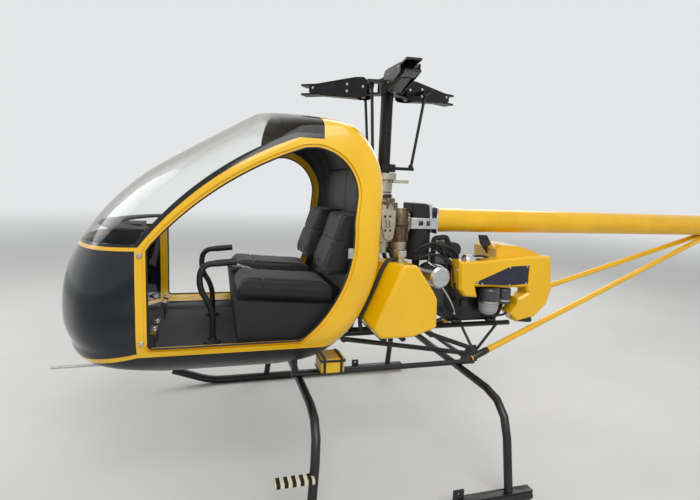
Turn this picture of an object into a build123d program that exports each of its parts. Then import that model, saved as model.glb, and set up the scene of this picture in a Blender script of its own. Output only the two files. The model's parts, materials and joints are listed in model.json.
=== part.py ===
from build123d import *
from math import atan2, cos, degrees, hypot, radians, sin
import os

os.makedirs("parts", exist_ok=True)

# Frame: +X forward, +Y to the left side, +Z up, the floor at Z 0, sizes in millimetres.
# Stations are measured from the rotor mast; the finished pieces move so that the middle of the length is X 0.

# Cabin shell
shell_wall = 30
glass_wall = 6
floor_gap = 1
cabin_bottom_z = 680
cabin_top_z = 2105
crown_margin = 15
rear_corner_radius = 120
back_wall_x = 185
back_top_z = 1620
back_foot_z = 1330
back_run = 435
roof_shoulder_z = 2000
roof_corner_radius = 170
# height, nose station, half width and cheek arc as a share of the half width
cabin_levels = [
    (cabin_bottom_z, 1600, 400, 0.6),
    (740, 1790, 510, 0.6),
    (850, 1862, 582, 0.6),
    (1080, 1884, 600, 0.6),
    (1300, 1820, 600, 0.6),
    (1450, 1728, 600, 0.62),
    (1600, 1600, 599, 0.65),
    (1750, 1425, 598, 0.68),
    (1880, 1215, 596, 0.7),
    (cabin_top_z + crown_margin, 810, 560, 0.7),
]
# The plan is drawn with short flats: a nose arc that turns this far each side, a cheek and a rear corner
nose_turn = 35
nose_flats = 3
cheek_flats = 4
corner_flats = 2

# Door openings, windscreen and chin window edges, seen from the side
pillar_x = 1397
pillar_width = 48
sill_z = 865
sill_depth = 42
belt_z = 1362
belt_depth = 16
rail_width = 46
rail_top_x = 640
rail_top_z = 1885
rail_bulge = 45
hoop_x = 350
hoop_knee_z = 1500
roof_seam_x = 545
chin_bottom_z = 745

# Cabin fittings
floor_top_z = 785
floor_thickness = 12
bulkhead_x = 222
bulkhead_thickness = 18
seat_front_x = 985
seat_y = 290
seat_width = 470
seat_base_top_z = 1085
seat_slope = 55
cushion_thickness = 100
cushion_length = 560
cushion_edge = 25
back_top_x = 365
back_height = 370
back_lean = 135
seat_gap = 0.3
stick_x = 1090
stick_radius = 17
shelf_z = 1440
shelf_depth = 110
panel_x = 1560

# Landing gear
skid_half_track = 945
skid_tube_radius = 30
skid_front_x = 1100
skid_tip_x = 1400
skid_tip_z = 141
skid_rear_x = -620
lug_x = -167
lug_z = 98
lug_bore_radius = 8
lug_thickness = 12
leg_radius = 23
front_foot_x = 640
front_leg_x = 590
rear_leg_x = -483
leg_top_z = 537
leg_knee_y = 850
leg_bend = 200
step_z = 290

# Lower frame. Bars and drums are drawn with flats, thin bars with fewer
bar_sides = 12
brace_sides = 8
drum_sides = 20
frame_tube_radius = 17
brace_radius = 14
rod_radius = 9
longeron_y = 340
longeron_z = leg_top_z + leg_radius + frame_tube_radius
frame_front_x = front_leg_x + 50
frame_rear_x = -560
upper_rail_z = 780
brace_front_x = 330
brace_rear_x = -250
engine_rail_y = 180
mast_foot_x = 245
cradle_stations = (0, 120)
tank_inner_y = 260
tank_outer_y = 520
tank_bottom_z = 826
cradle_z = tank_bottom_z - frame_tube_radius

# Engine bay
block_front_x = -430
block_half_width = 150
block_bottom_z = upper_rail_z + frame_tube_radius
engine_rear_x = -940
shroud_outer_y = 270
fit_gap = 0.3

# Gearbox and boom carrier
gearbox_top_z = 1585
gearbox_case_z = 1345
gearbox_bottom_z = 1265
gearbox_radius = 105
neck_top_z = 1670
carrier_front_x = -180
carrier_bottom_z = 1432
carrier_top_z = 1505
carrier_half_width = 95

# Rotor head
hub_z = 2340
mast_radius = 40
mast_foot_z = 1300
grip_angle = 82
grip_count = 3
hinge_reach = 165
grip_start = 205
grip_end = 470
fork_end = 610
fork_half_height = 36
fork_plate = 12
blade_bolt_reach = 560
blade_bolt_radius = 8
horn_reach = 144
rod_lag = degrees(atan2(horn_reach, grip_start))
rod_head_radius = hypot(horn_reach, grip_start)
rod_foot_radius = 180
swashplate_z = 1800
running_gap = 0.05

# Tail
boom_radius = 82
boom_wall = 3
boom_z = 1488
boom_front_x = -380
boom_rear_x = -4150
tail_gearbox_radius = 70
tail_shaft_radius = 12
tail_rotor_radius = 640
tail_rotor_y = 210
fin_overhang = 410
fin_thickness = 30
stabiliser_x = -3300
strut_radius = 20
strut_joint_x = -2950

pitot_tip_x = 1990
middle_x = (pitot_tip_x + boom_rear_x - fin_overhang) / 2
tail_rotor_x = boom_rear_x - tail_gearbox_radius


def write(piece, name):
    """Moves a piece so that the middle of the length is X 0, labels it and writes it."""
    part = piece.part.moved(Location((-middle_x, 0, 0)))
    part.label = name
    export_step(part, f"parts/{name}.step")


def rounded(points, reach):
    """The same route, with three chords of a curve round each inner corner from the reach before it."""
    corners = [Vector(*point) for point in points]
    route = corners[:1]
    for before, corner, after in zip(corners, corners[1:], corners[2:]):
        start = (before - corner).normalized() * reach
        end = (after - corner).normalized() * reach
        route += [corner + start * (1 - t) ** 2 + end * t**2 for t in (0, 1 / 3, 2 / 3, 1)]
    return route + corners[-1:]


def tube(points, radius, reach=0, sides=bar_sides):
    """A bar of many flats along straight runs. With a reach, its corners are rounded over that length."""
    with BuildPart(mode=Mode.PRIVATE) as bar:
        with BuildLine() as route:
            Polyline(*(rounded(points, reach) if reach else points))
        with BuildSketch(Plane(origin=route.line @ 0, z_dir=route.line % 0)):
            RegularPolygon(radius, sides, major_radius=False, rotation=180 / sides)
        sweep(transition=Transition.RIGHT)
    return bar.part


def drum(radius, low_z, high_z, x=0, y=0):
    """An upright round body of many flats, drawn outside the circle so that it can also be a bore."""
    with BuildPart(mode=Mode.PRIVATE) as body:
        with BuildSketch(Plane.XY.offset(low_z)):
            with Locations((x, y)):
                RegularPolygon(radius, drum_sides, major_radius=False, rotation=180 / drum_sides)
        extrude(amount=high_z - low_z)
    return body.part


def low(point):
    """The same point on the right-hand side."""
    return (point[0], -point[1])


def arc_points(centre, radius, start, end, flats):
    """The ends of equal flats round an arc, with its angles in degrees from +X."""
    turns = [radians(start + (end - start) * k / flats) for k in range(flats + 1)]
    return [(centre[0] + radius * cos(turn), centre[1] + radius * sin(turn)) for turn in turns]


def cabin_outline(nose_x, rear_x, half_width, cheek_share):
    """The plan of the cabin at one height: flat back, straight sides and a nose of three tangent arcs.

    Each arc turns through the same flats at every height, so the faces between two heights are plane.
    """
    cheek_r = cheek_share * half_width
    cheek_y = half_width - cheek_r
    nose_r = cheek_r + cheek_y / sin(radians(nose_turn))
    cheek_x = nose_x - nose_r + (nose_r - cheek_r) * cos(radians(nose_turn))
    corner = (rear_x + rear_corner_radius, half_width - rear_corner_radius)
    side = arc_points((nose_x - nose_r, 0), nose_r, 0, nose_turn, nose_flats)[:-1]
    side += arc_points((cheek_x, cheek_y), cheek_r, nose_turn, 90, cheek_flats)
    side += arc_points(corner, rear_corner_radius, 90, 180, corner_flats)
    with BuildSketch(Plane.XY, mode=Mode.PRIVATE) as outline:
        with BuildLine():
            Polyline(*side, *[low(point) for point in reversed(side[1:])], close=True)
        make_face()
    return outline.sketch


def profile_outline(inset):
    """The cabin's side view: a round back under a rounded roof corner, open towards the nose."""
    far_x = 2300
    roof_x = back_wall_x + back_run
    roof_z = cabin_top_z + crown_margin / 3
    roof_mid = (back_wall_x + 0.26 * back_run, cabin_top_z - 0.29 * (cabin_top_z - back_top_z))
    foot_mid = (back_wall_x + 0.24 * back_run, back_foot_z - 0.53 * (back_foot_z - cabin_bottom_z))
    with BuildSketch(Plane.XY, mode=Mode.PRIVATE) as outline:
        with BuildLine():
            Polyline((roof_x, cabin_bottom_z), (far_x, cabin_bottom_z), (far_x, roof_z), (roof_x, roof_z))
            ThreePointArc((roof_x, roof_z), roof_mid, (back_wall_x, back_top_z))
            Line((back_wall_x, back_top_z), (back_wall_x, back_foot_z))
            ThreePointArc((back_wall_x, back_foot_z), foot_mid, (roof_x, cabin_bottom_z))
        make_face()
        if inset:
            offset(amount=-inset, mode=Mode.REPLACE)
    return outline.sketch


def front_outline(inset):
    """The cabin's front view: upright sides, rounded shoulders and a crowned roof."""
    wide = 640
    with BuildSketch(Plane.XY, mode=Mode.PRIVATE) as outline:
        with BuildLine():
            Polyline((-wide, roof_shoulder_z), (-wide, 500), (wide, 500), (wide, roof_shoulder_z))
            ThreePointArc((wide, roof_shoulder_z), (0, cabin_top_z), (-wide, roof_shoulder_z))
        make_face()
        fillet(outline.vertices().group_by(Axis.Y)[-1], roof_corner_radius)
        if inset:
            offset(amount=-inset, mode=Mode.REPLACE)
    return outline.sketch


def cabin_solid(inset):
    """The closed cabin body with every wall drawn in by the inset. The loft ends above the crown of the roof."""
    middle_z = (cabin_bottom_z + cabin_top_z) / 2
    shrink = 1 - inset / (cabin_top_z - middle_z)
    outlines = []
    for z, nose_x, half_width, cheek_share in cabin_levels:
        level = middle_z + (z - middle_z) * shrink
        outline = cabin_outline(nose_x - inset, back_wall_x - 5 + inset, half_width - inset, cheek_share)
        outlines.append(outline.moved(Location((0, 0, level))))
    with BuildPart() as body:
        loft(outlines, ruled=True)
        with BuildSketch(Plane.XZ):
            add(profile_outline(inset))
        extrude(amount=900, both=True, mode=Mode.INTERSECT)
        with BuildSketch(Plane.YZ):
            add(front_outline(inset))
        extrude(amount=2400, mode=Mode.INTERSECT)
    return body.part


def side_zone(outline, half_width=900):
    """A side view outline carried right through the cabin."""
    with BuildPart() as zone:
        with BuildSketch(Plane.XZ):
            add(outline)
        extrude(amount=half_width, both=True)
    return zone.part


def door_outline():
    """The door opening: upright pillar, bowed rail, upright rear edge and a long lower curve."""
    rail_mid = ((pillar_x + rail_top_x) / 2 + rail_bulge, (belt_z + rail_top_z) / 2 + rail_bulge)
    with BuildSketch(Plane.XY, mode=Mode.PRIVATE) as outline:
        with BuildLine():
            Line((pillar_x, sill_z), (pillar_x, belt_z))
            ThreePointArc((pillar_x, belt_z), rail_mid, (rail_top_x, rail_top_z))
            Line((rail_top_x, rail_top_z), (rail_top_x - 60, rail_top_z + 5))
            ThreePointArc((rail_top_x - 60, rail_top_z + 5), (420, 1815), (hoop_x, 1640))
            Line((hoop_x, 1640), (hoop_x + 12, hoop_knee_z))
            ThreePointArc((hoop_x + 12, hoop_knee_z), (425, 1130), (640, sill_z))
            Line((640, sill_z), (pillar_x, sill_z))
        make_face()
    return outline.sketch


def windscreen_outline():
    """The windscreen's field: above the belt and the rail, ahead of the roof seam."""
    rail_mid = ((pillar_x + rail_top_x) / 2 + rail_bulge, (belt_z + rail_top_z) / 2 + rail_bulge)
    lift = rail_width * 0.72
    with BuildSketch(Plane.XY, mode=Mode.PRIVATE) as outline:
        with BuildLine():
            Line((2200, belt_z - 25), (pillar_x + lift, belt_z + 10))
            ThreePointArc(
                (pillar_x + lift, belt_z + 10),
                (rail_mid[0] + lift, rail_mid[1] + lift),
                (rail_top_x + lift, rail_top_z + rail_width),
            )
            Line((rail_top_x + lift, rail_top_z + rail_width), (roof_seam_x, rail_top_z + rail_width))
            Line((roof_seam_x, rail_top_z + rail_width), (roof_seam_x, 2300))
            Line((roof_seam_x, 2300), (2200, 2300))
            Line((2200, 2300), (2200, belt_z - 25))
        make_face()
    return outline.sketch


def chin_outline():
    """The chin window's field: ahead of the pillar, between the belt and the lip over the belly."""
    back_x = pillar_x + pillar_width
    with BuildSketch(Plane.XY, mode=Mode.PRIVATE) as outline:
        with BuildLine():
            Polyline(
                (back_x, sill_z - 20),
                (back_x, belt_z + 8 - belt_depth),
                (2200, belt_z - 25 - belt_depth),
                (2200, chin_bottom_z - 60),
                close=True,
            )
        make_face()
    return outline.sketch


def belly_outline():
    """The belly pan's field: below the sills, dipping towards the nose."""
    split_z = sill_z - sill_depth
    with BuildSketch(Plane.XY, mode=Mode.PRIVATE) as outline:
        with BuildLine():
            Polyline(
                (-200, split_z),
                (pillar_x + pillar_width, split_z),
                (2200, chin_bottom_z - 100),
                (2200, 400),
                (-200, 400),
                close=True,
            )
        make_face()
    return outline.sketch


cabin_outer = cabin_solid(0)
cabin_inner = cabin_solid(shell_wall)
cabin_glass = cabin_outer - cabin_solid(glass_wall)
cabin_room = cabin_solid(shell_wall + floor_gap)
windscreen_zone = side_zone(windscreen_outline())
chin_zone = side_zone(chin_outline())
belly_zone = side_zone(belly_outline())
door_zone = side_zone(door_outline())

# Cabin shell: roof, rear hoop, door frames and nose band in one moulding
with BuildPart() as cabin_shell:
    add(cabin_outer)
    add(cabin_inner, mode=Mode.SUBTRACT)
    add(windscreen_zone, mode=Mode.SUBTRACT)
    add(chin_zone, mode=Mode.SUBTRACT)
    add(belly_zone, mode=Mode.SUBTRACT)
    add(door_zone, mode=Mode.SUBTRACT)
write(cabin_shell, "cabin_shell")

with BuildPart() as windshield:
    add(cabin_glass)
    add(windscreen_zone, mode=Mode.INTERSECT)
write(windshield, "windshield")

with BuildPart() as chin_window:
    add(cabin_glass)
    add(chin_zone, mode=Mode.INTERSECT)
write(chin_window, "chin_window")

with BuildPart() as belly_pan:
    add(cabin_outer)
    add(cabin_inner, mode=Mode.SUBTRACT)
    add(belly_zone, mode=Mode.INTERSECT)
write(belly_pan, "belly_pan")

# Floor and rear bulkhead, cut to the inside of the shell
with BuildPart() as cabin_floor:
    add(cabin_room)
    with Locations((0, 0, floor_top_z)):
        Box(5000, 3000, floor_thickness, align=(Align.CENTER, Align.CENTER, Align.MAX), mode=Mode.INTERSECT)
write(cabin_floor, "cabin_floor")

with BuildPart() as rear_bulkhead:
    add(cabin_room)
    with Locations((bulkhead_x, 0, floor_top_z + floor_gap)):
        Box(bulkhead_thickness, 3000, 3000, align=(Align.MIN, Align.CENTER, Align.MIN), mode=Mode.INTERSECT)
write(rear_bulkhead, "rear_bulkhead")

# Seats: a moulded base for two, with a cushion and a tall leaning back for each
base_rear_x = bulkhead_x + bulkhead_thickness
base_wall = 8
base_side_y = seat_y + seat_width / 2
with BuildPart() as seat_base:
    with BuildSketch(Plane.XZ):
        with BuildLine():
            Polyline(
                (base_rear_x, floor_top_z),
                (seat_front_x - 30, floor_top_z),
                (seat_front_x, seat_base_top_z),
                (base_rear_x, seat_base_top_z - seat_slope),
                close=True,
            )
        make_face()
    extrude(amount=base_side_y, both=True)
    add(cabin_room, mode=Mode.INTERSECT)
    seat_block = seat_base.part
    with BuildSketch(Plane.XZ):
        with BuildLine():
            Polyline(
                (hoop_x + 80, floor_top_z - 20),
                (seat_front_x - 30 - base_wall, floor_top_z - 20),
                (seat_front_x - base_wall, seat_base_top_z - 2 * base_wall),
                (hoop_x + 80, seat_base_top_z - seat_slope - 2 * base_wall),
                close=True,
            )
        make_face()
    extrude(amount=base_side_y - base_wall, both=True, mode=Mode.SUBTRACT)
write(seat_base, "seat_base")

cushion_rear_x = seat_front_x - cushion_length
slope = seat_slope / (seat_front_x - base_rear_x)
for side, name in ((1, "left"), (-1, "right")):
    seat_plane = Plane.XZ.offset(-side * seat_y)
    rear_z = seat_base_top_z - cushion_length * slope + seat_gap
    with BuildPart() as cushion:
        with BuildSketch(seat_plane):
            with BuildLine():
                Polyline(
                    (cushion_rear_x, rear_z),
                    (seat_front_x, seat_base_top_z + seat_gap),
                    (seat_front_x + 12, seat_base_top_z + cushion_thickness / 2),
                    (seat_front_x - 25, seat_base_top_z + cushion_thickness),
                    (cushion_rear_x, rear_z + cushion_thickness),
                    close=True,
                )
            make_face()
        extrude(amount=seat_width / 2, both=True)
        ends = cushion.faces().filter_by(Axis.Y)
        chamfer(ends.edges(), cushion_edge)
    write(cushion, f"seat_cushion_{name}")

    back_foot_z = seat_base_top_z + cushion_thickness + 2 * seat_gap
    rear_top_x = base_rear_x + seat_gap
    with BuildPart() as back:
        with BuildSketch(seat_plane):
            with BuildLine():
                Polyline(
                    (rear_top_x + back_lean, back_foot_z),
                    (back_top_x + back_lean, back_foot_z),
                    (back_top_x, back_foot_z + back_height),
                    (rear_top_x, back_foot_z + back_height),
                    close=True,
                )
            make_face()
        extrude(amount=seat_width / 2, both=True)
        ends = back.faces().filter_by(Axis.Y)
        chamfer(ends.edges(), cushion_edge)
    write(back, f"seat_back_{name}")

# Controls: two bent sticks, two pairs of pedals and two collective levers
stick_path = [(0, 0), (0, 195), (75, 325), (60, 450), (-130, 467)]
stick_bend = 45
with BuildPart() as control_sticks:
    for side in (1, -1):
        y = side * seat_y
        add(tube([(stick_x + x, y, floor_top_z + z) for x, z in stick_path],
                 stick_radius, stick_bend, brace_sides))
        with BuildSketch(Plane.XY.offset(floor_top_z)):
            with Locations((stick_x, y)):
                RegularPolygon(45, 16)
        extrude(amount=14)
write(control_sticks, "control_sticks")

pedal_x = 1390
pedal_spread = 70
with BuildPart() as pedals:
    for side in (1, -1):
        for step in (1, -1):
            with Locations((pedal_x, side * seat_y + step * pedal_spread, floor_top_z)):
                Box(12, 10, 130, align=(Align.CENTER, Align.CENTER, Align.MIN))
            with Locations((pedal_x, side * seat_y + step * pedal_spread, floor_top_z + 110)):
                Box(30, 80, 30)
write(pedals, "pedals")

with BuildPart() as collective_levers:
    for y in (28, -28):
        add(tube([(640, y, 1040), (760, y, 1110), (1000, y, 1190)], 12, 50, brace_sides))
    add(seat_block, mode=Mode.SUBTRACT)
write(collective_levers, "collective_levers")

# Instrument stand with a curved shelf that follows the windscreen
with BuildPart() as instrument_panel:
    with BuildSketch(Plane.XY.offset(floor_top_z)):
        with Locations((panel_x + 20, 0)):
            Rectangle(110, 160)
    with BuildSketch(Plane.XY.offset(shelf_z)):
        with Locations((panel_x, 0)):
            Rectangle(170, 230)
    loft()
    with BuildSketch(Plane.XY.offset(shelf_z)):
        add(cabin_outline(1700, back_wall_x, 568, 0.62))
        add(cabin_outline(1700 - shelf_depth, back_wall_x, 568 - shelf_depth, 0.62), mode=Mode.SUBTRACT)
        with Locations((pillar_x + 8, 0)):
            Rectangle(4000, 2000, align=(Align.MAX, Align.CENTER), mode=Mode.SUBTRACT)
    extrude(amount=14)
write(instrument_panel, "instrument_panel")

with BuildPart() as pitot_tube:
    add(tube([(1500, 0, 700), (1560, 0, 585), (pitot_tip_x, 0, 585)], 8, 40, brace_sides))
    add(belly_pan.part, mode=Mode.SUBTRACT)
write(pitot_tube, "pitot_tube")


# Landing gear: two bowed cross tubes on two skids
def cross_tube(foot_x, top_x):
    """One bowed cross tube with both legs, from skid to skid, its top set back from its feet."""
    side = [(top_x, leg_knee_y, leg_top_z), (foot_x, skid_half_track, skid_tube_radius)]
    points = [(x, -y, z) for x, y, z in reversed(side)] + side
    with BuildPart() as bow:
        add(tube(points, leg_radius, leg_bend))
        for mirrored in (1, -1):
            with Locations(Location((foot_x, mirrored * skid_half_track, skid_tube_radius), (0, 90, 0))):
                Box(2 * skid_tube_radius, 2 * skid_tube_radius, 300, mode=Mode.SUBTRACT)
    return bow


front_cross_tube = cross_tube(front_foot_x, front_leg_x)
write(front_cross_tube, "front_cross_tube")
rear_cross_tube = cross_tube(rear_leg_x, rear_leg_x)
write(rear_cross_tube, "rear_cross_tube")

for side, name in ((1, "left"), (-1, "right")):
    y = side * skid_half_track
    with BuildPart() as skid:
        add(tube([(skid_rear_x, y, skid_tube_radius), (skid_front_x, y, skid_tube_radius),
                  (skid_tip_x, y, skid_tip_z)], skid_tube_radius, 90))
        with BuildSketch(Plane.XZ.offset(-y)):
            with Locations((lug_x, lug_z - 23)):
                Rectangle(60, 90)
            with Locations((lug_x, lug_z)):
                Circle(lug_bore_radius, mode=Mode.SUBTRACT)
        extrude(amount=lug_thickness / 2, both=True)
        with Locations(((skid_rear_x + lug_x) / 2, y, 2 * skid_tube_radius)):
            Box(lug_x - skid_rear_x, 52, 12)
        add(rear_cross_tube.part, mode=Mode.SUBTRACT)
    write(skid, f"skid_{name}")

with BuildPart() as cabin_steps:
    for side in (1, -1):
        with Locations((front_leg_x + 30, side * (skid_half_track - 25), step_z)):
            Box(192, 60, 22, align=(Align.MIN, Align.CENTER, Align.CENTER))
    add(front_cross_tube.part, mode=Mode.SUBTRACT)
write(cabin_steps, "cabin_steps")

# Lower frame: longerons on the cross tubes, upper rails, braces and posts, engine rails and tank cradles
post_x = frame_front_x - frame_tube_radius
with BuildPart() as main_frame:
    for side in (1, -1):
        y = side * longeron_y
        rail_y = side * engine_rail_y
        add(tube([(frame_front_x, y, longeron_z), (frame_rear_x - 20, y, longeron_z)], frame_tube_radius))
        rail = [(mast_foot_x, rail_y, upper_rail_z), (engine_rear_x, rail_y, upper_rail_z)]
        add(tube(rail, frame_tube_radius))
        node = (frame_rear_x - 20, y, longeron_z + 60)
        # start, end and radius of each brace
        for start, end, radius in (
            ((brace_front_x, y, upper_rail_z), (frame_rear_x + 50, y, longeron_z + 60), brace_radius),
            ((post_x, y, longeron_z), (post_x, y, cabin_bottom_z), brace_radius),
            ((brace_rear_x, y, upper_rail_z), (frame_rear_x + 15, y, longeron_z + 95), brace_radius),
            (node, (frame_rear_x, rail_y, upper_rail_z), rod_radius),
            (node, (engine_rear_x + 90, rail_y, upper_rail_z), rod_radius),
        ):
            add(tube([start, end], radius, sides=brace_sides))
        with BuildSketch(Plane.XZ.offset(-y)):
            with BuildLine():
                Polyline(
                    (frame_rear_x - 45, longeron_z),
                    (frame_rear_x + 90, longeron_z),
                    (frame_rear_x + 30, longeron_z + 110),
                    (frame_rear_x - 30, longeron_z + 110),
                    close=True,
                )
            make_face()
        extrude(amount=6, both=True)
    for x in (brace_front_x, brace_rear_x):
        end_y = longeron_y + brace_radius
        add(tube([(x, -end_y, upper_rail_z), (x, end_y, upper_rail_z)], frame_tube_radius + 1))
    for x, half, z in ((mast_foot_x, engine_rail_y, upper_rail_z), (frame_rear_x, longeron_y, longeron_z)):
        add(tube([(x, -half, z), (x, half, z)], brace_radius, sides=brace_sides))
    for x in cradle_stations:
        add(tube([(x, 40 - tank_outer_y, cradle_z), (x, tank_outer_y - 40, cradle_z)], frame_tube_radius))
    add(front_cross_tube.part, mode=Mode.SUBTRACT)
write(main_frame, "main_frame")

battery_rear_x = 337
with BuildPart() as battery_box:
    with Locations((battery_rear_x, longeron_y, longeron_z + frame_tube_radius)):
        Box(145, 160, 95, align=(Align.MIN, Align.CENTER, Align.MIN))
    chamfer(battery_box.edges().filter_by(Axis.Z), 12)
write(battery_box, "battery_box")

# Fuel tanks: a folded wedge each side, with its front edges cut back
tank_corners = [(98, 1264), (-52, 1257), (-159, 1109), (-192, 1053), (-198, 876), (-41, tank_bottom_z)]
tank_corners += [(157, tank_bottom_z), (245, 928)]
tank_width = tank_outer_y - tank_inner_y
cap_x = 15
cap_y = 400
tank_parts = []
for side, name in ((1, "left"), (-1, "right")):
    with BuildPart() as tank:
        with BuildSketch(Plane.XZ.offset(-side * (tank_inner_y + tank_outer_y) / 2)):
            with BuildLine():
                Polyline(*tank_corners, close=True)
            make_face()
        extrude(amount=tank_width / 2, both=True)
        outer = tank.faces().sort_by(Axis.Y)[-1 if side > 0 else 0]
        front_edge = outer.edges().filter_by(GeomType.LINE).sort_by(Edge.length)[-1]
        chamfer(front_edge, 110, 60)
    write(tank, f"fuel_tank_{name}")
    tank_parts.append(tank.part)

with BuildPart() as tank_fittings:
    for side in (1, -1):
        with BuildSketch(Plane.XY.offset(tank_bottom_z + 400)):
            with Locations((cap_x, side * cap_y)):
                RegularPolygon(26, 16)
        extrude(amount=88)
        with BuildSketch(Plane.XY.offset(tank_bottom_z + 470)):
            with Locations((cap_x, side * cap_y)):
                RegularPolygon(38, 16)
        extrude(amount=34)
    for tank_part in tank_parts:
        add(tank_part, mode=Mode.SUBTRACT)
write(tank_fittings, "tank_fittings")

# Engine: crankcase on four feet
block_outline = [
    (block_front_x, 1190), (-470, 1237), (-560, 1237), (-600, 1060), (-860, 1060), (-930, 960), (-880, 820),
    (-840, block_bottom_z), (-470, block_bottom_z), (block_front_x, 860),
]
with BuildPart() as engine_block:
    with BuildSketch(Plane.XZ):
        with BuildLine():
            Polyline(*block_outline, close=True)
        make_face()
    extrude(amount=block_half_width, both=True)
    with Locations((-520, 0, block_bottom_z), (-790, 0, block_bottom_z)):
        Box(70, 2 * (engine_rail_y + frame_tube_radius), 22, align=(Align.CENTER, Align.CENTER, Align.MIN))
    with Locations((-730, 0, 1060)):
        Box(180, 200, 60, align=(Align.CENTER, Align.CENTER, Align.MIN))
write(engine_block, "engine_block")

with BuildPart() as engine_cylinders:
    for x, radius, foot_z, head_z in ((-735, 72, 862, 1050), (-862, 52, 927, 1042)):
        add(drum(radius, foot_z, head_z, x, block_half_width + fit_gap + radius))
write(engine_cylinders, "engine_cylinders")

# Cooling shroud: beam, rear column and elbow in one moulding, with a recessed panel and a duct across the top
shroud_inner_y = block_half_width + fit_gap
shroud_outline = [
    (-465, 1235), (-614, 1236), (-990, 1268), (-1183, 1268), (-1212, 1029), (-1182, 921),
    (-1091, 837), (-945, 806), (-890, 868), (-938, 925), (-940, 975), (-1018, 1010),
    (-1000, 1052), (-864, 1052), (-599, 1065), (-621, 989), (-520, 1000), (-480, 1047),
]
panel_outline = [(-585, 1092), (-857, 1202), (-1008, 1208), (-1008, 1075), (-864, 1066), (-625, 1078)]
duct_outline = [(-801, 1304), (-839, 1333), (-987, 1326), (-1241, 1246), (-1158, 1200), (-807, 1225)]
with BuildPart() as cooling_shroud:
    with BuildSketch(Plane.XZ.offset(-shroud_inner_y)):
        with BuildLine():
            Polyline(*shroud_outline, close=True)
        make_face()
    extrude(amount=shroud_inner_y - shroud_outer_y)
    face = cooling_shroud.faces().sort_by(Axis.Y)[-1]
    chamfer(face.edges(), 14)
    with BuildSketch(Plane.XZ.offset(-shroud_outer_y)):
        with BuildLine():
            Polyline(*panel_outline, close=True)
        make_face()
    extrude(amount=4, mode=Mode.SUBTRACT)
    with BuildSketch(Plane.XZ.offset(-(shroud_inner_y + 20))):
        with BuildLine():
            Polyline(*duct_outline, close=True)
        make_face()
    extrude(amount=shroud_inner_y + 140)
write(cooling_shroud, "cooling_shroud")

intake_x = -515
intake_radius = 52
hose_y = 20
intake_z = 1237 + fit_gap + intake_radius
hose_x = -392
with BuildPart() as air_intake:
    with BuildSketch(Plane.XZ):
        with Locations((intake_x, intake_z)):
            RegularPolygon(intake_radius, drum_sides, major_radius=False, rotation=180 / drum_sides)
    extrude(amount=95, both=True)
    hose = [(intake_x, hose_y, intake_z), (intake_x + 25, hose_y, 1372), (hose_x, hose_y, 1362),
            (hose_x, hose_y, 1120), (block_front_x + fit_gap, hose_y, 1120)]
    add(tube(hose, 17, 25, brace_sides))
write(air_intake, "air_intake")

canister_x = -320
canister_z = 1135
canister_radius = 72
canister_end_y = 300
with BuildPart() as exhaust_canister:
    with BuildSketch(Plane.XZ.offset(-canister_end_y)):
        with Locations((canister_x, canister_z)):
            RegularPolygon(canister_radius, drum_sides)
    extrude(amount=215)
    chamfer(exhaust_canister.faces().sort_by(Axis.Y)[-1].edges(), 14)
    with BuildSketch(Plane.YZ.offset(block_front_x + fit_gap)):
        with Locations((118, canister_z)):
            RegularPolygon(26, bar_sides)
    extrude(amount=canister_x - block_front_x - 30)
write(exhaust_canister, "exhaust_canister")

# Gearbox: case round the mast, its lower boss, a pinion housing and the flange towards the boom
neck_radius = 58
flange_size = 150
with BuildPart() as gearbox:
    # radius, foot and head of each step of the casting
    for radius, low_z, high_z in (
        (68, gearbox_bottom_z, gearbox_case_z),
        (gearbox_radius - 9, gearbox_case_z, gearbox_top_z - 40),
        (gearbox_radius, gearbox_top_z - 40, gearbox_top_z),
        (neck_radius, gearbox_top_z, neck_top_z),
    ):
        add(drum(radius, low_z, high_z))
    add(drum(56, 1235, 1500, -112, 52))
    with BuildSketch(Plane.YZ.offset(carrier_front_x)):
        with Locations((0, (carrier_bottom_z + carrier_top_z) / 2)):
            Rectangle(flange_size, flange_size)
            chamfer(vertices(), 30)
    extrude(amount=gearbox_radius)
    add(drum(mast_radius + running_gap, mast_foot_z, neck_top_z), mode=Mode.SUBTRACT)
write(gearbox, "gearbox")

with BuildPart() as mast_frame:
    for side in (1, -1):
        for foot_x, head_x, head_z in ((mast_foot_x, 30, 1362), (brace_rear_x, -40, 1300)):
            leg = [(foot_x, side * engine_rail_y, upper_rail_z), (head_x, side * 70, head_z)]
            add(tube(leg, brace_radius, sides=brace_sides))
    add(gearbox.part, mode=Mode.SUBTRACT)
    add(main_frame.part, mode=Mode.SUBTRACT)
write(mast_frame, "mast_frame")

# Boom carrier: an open alloy box between gearbox and boom, two square lightening holes each side
with BuildPart() as boom_carrier:
    with BuildSketch(Plane.XY.offset(carrier_bottom_z)):
        with Locations((carrier_front_x - fit_gap, 0)):
            Rectangle(carrier_front_x - boom_front_x - fit_gap, 2 * carrier_half_width,
                      align=(Align.MAX, Align.CENTER))
    extrude(amount=carrier_top_z - carrier_bottom_z)
    carrier_wall = 12
    carrier_middle_x = (carrier_front_x + boom_front_x) / 2
    carrier_middle_z = (carrier_bottom_z + carrier_top_z) / 2
    with Locations((carrier_middle_x, 0, carrier_middle_z)):
        Box(carrier_front_x - boom_front_x - 2 * carrier_wall, 2 * (carrier_half_width - carrier_wall),
            carrier_top_z - carrier_bottom_z + 2, mode=Mode.SUBTRACT)
    hole_places = [(carrier_middle_x + step, 0, carrier_middle_z) for step in (28, -28)]
    with Locations(*hole_places):
        Box(32, 3 * carrier_half_width, 32, mode=Mode.SUBTRACT)
    with BuildSketch(Plane.YZ.offset(boom_front_x)):
        with Locations((0, boom_z)):
            RectangleRounded(180, 180, 20)
    extrude(amount=10)
write(boom_carrier, "boom_carrier")

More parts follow.
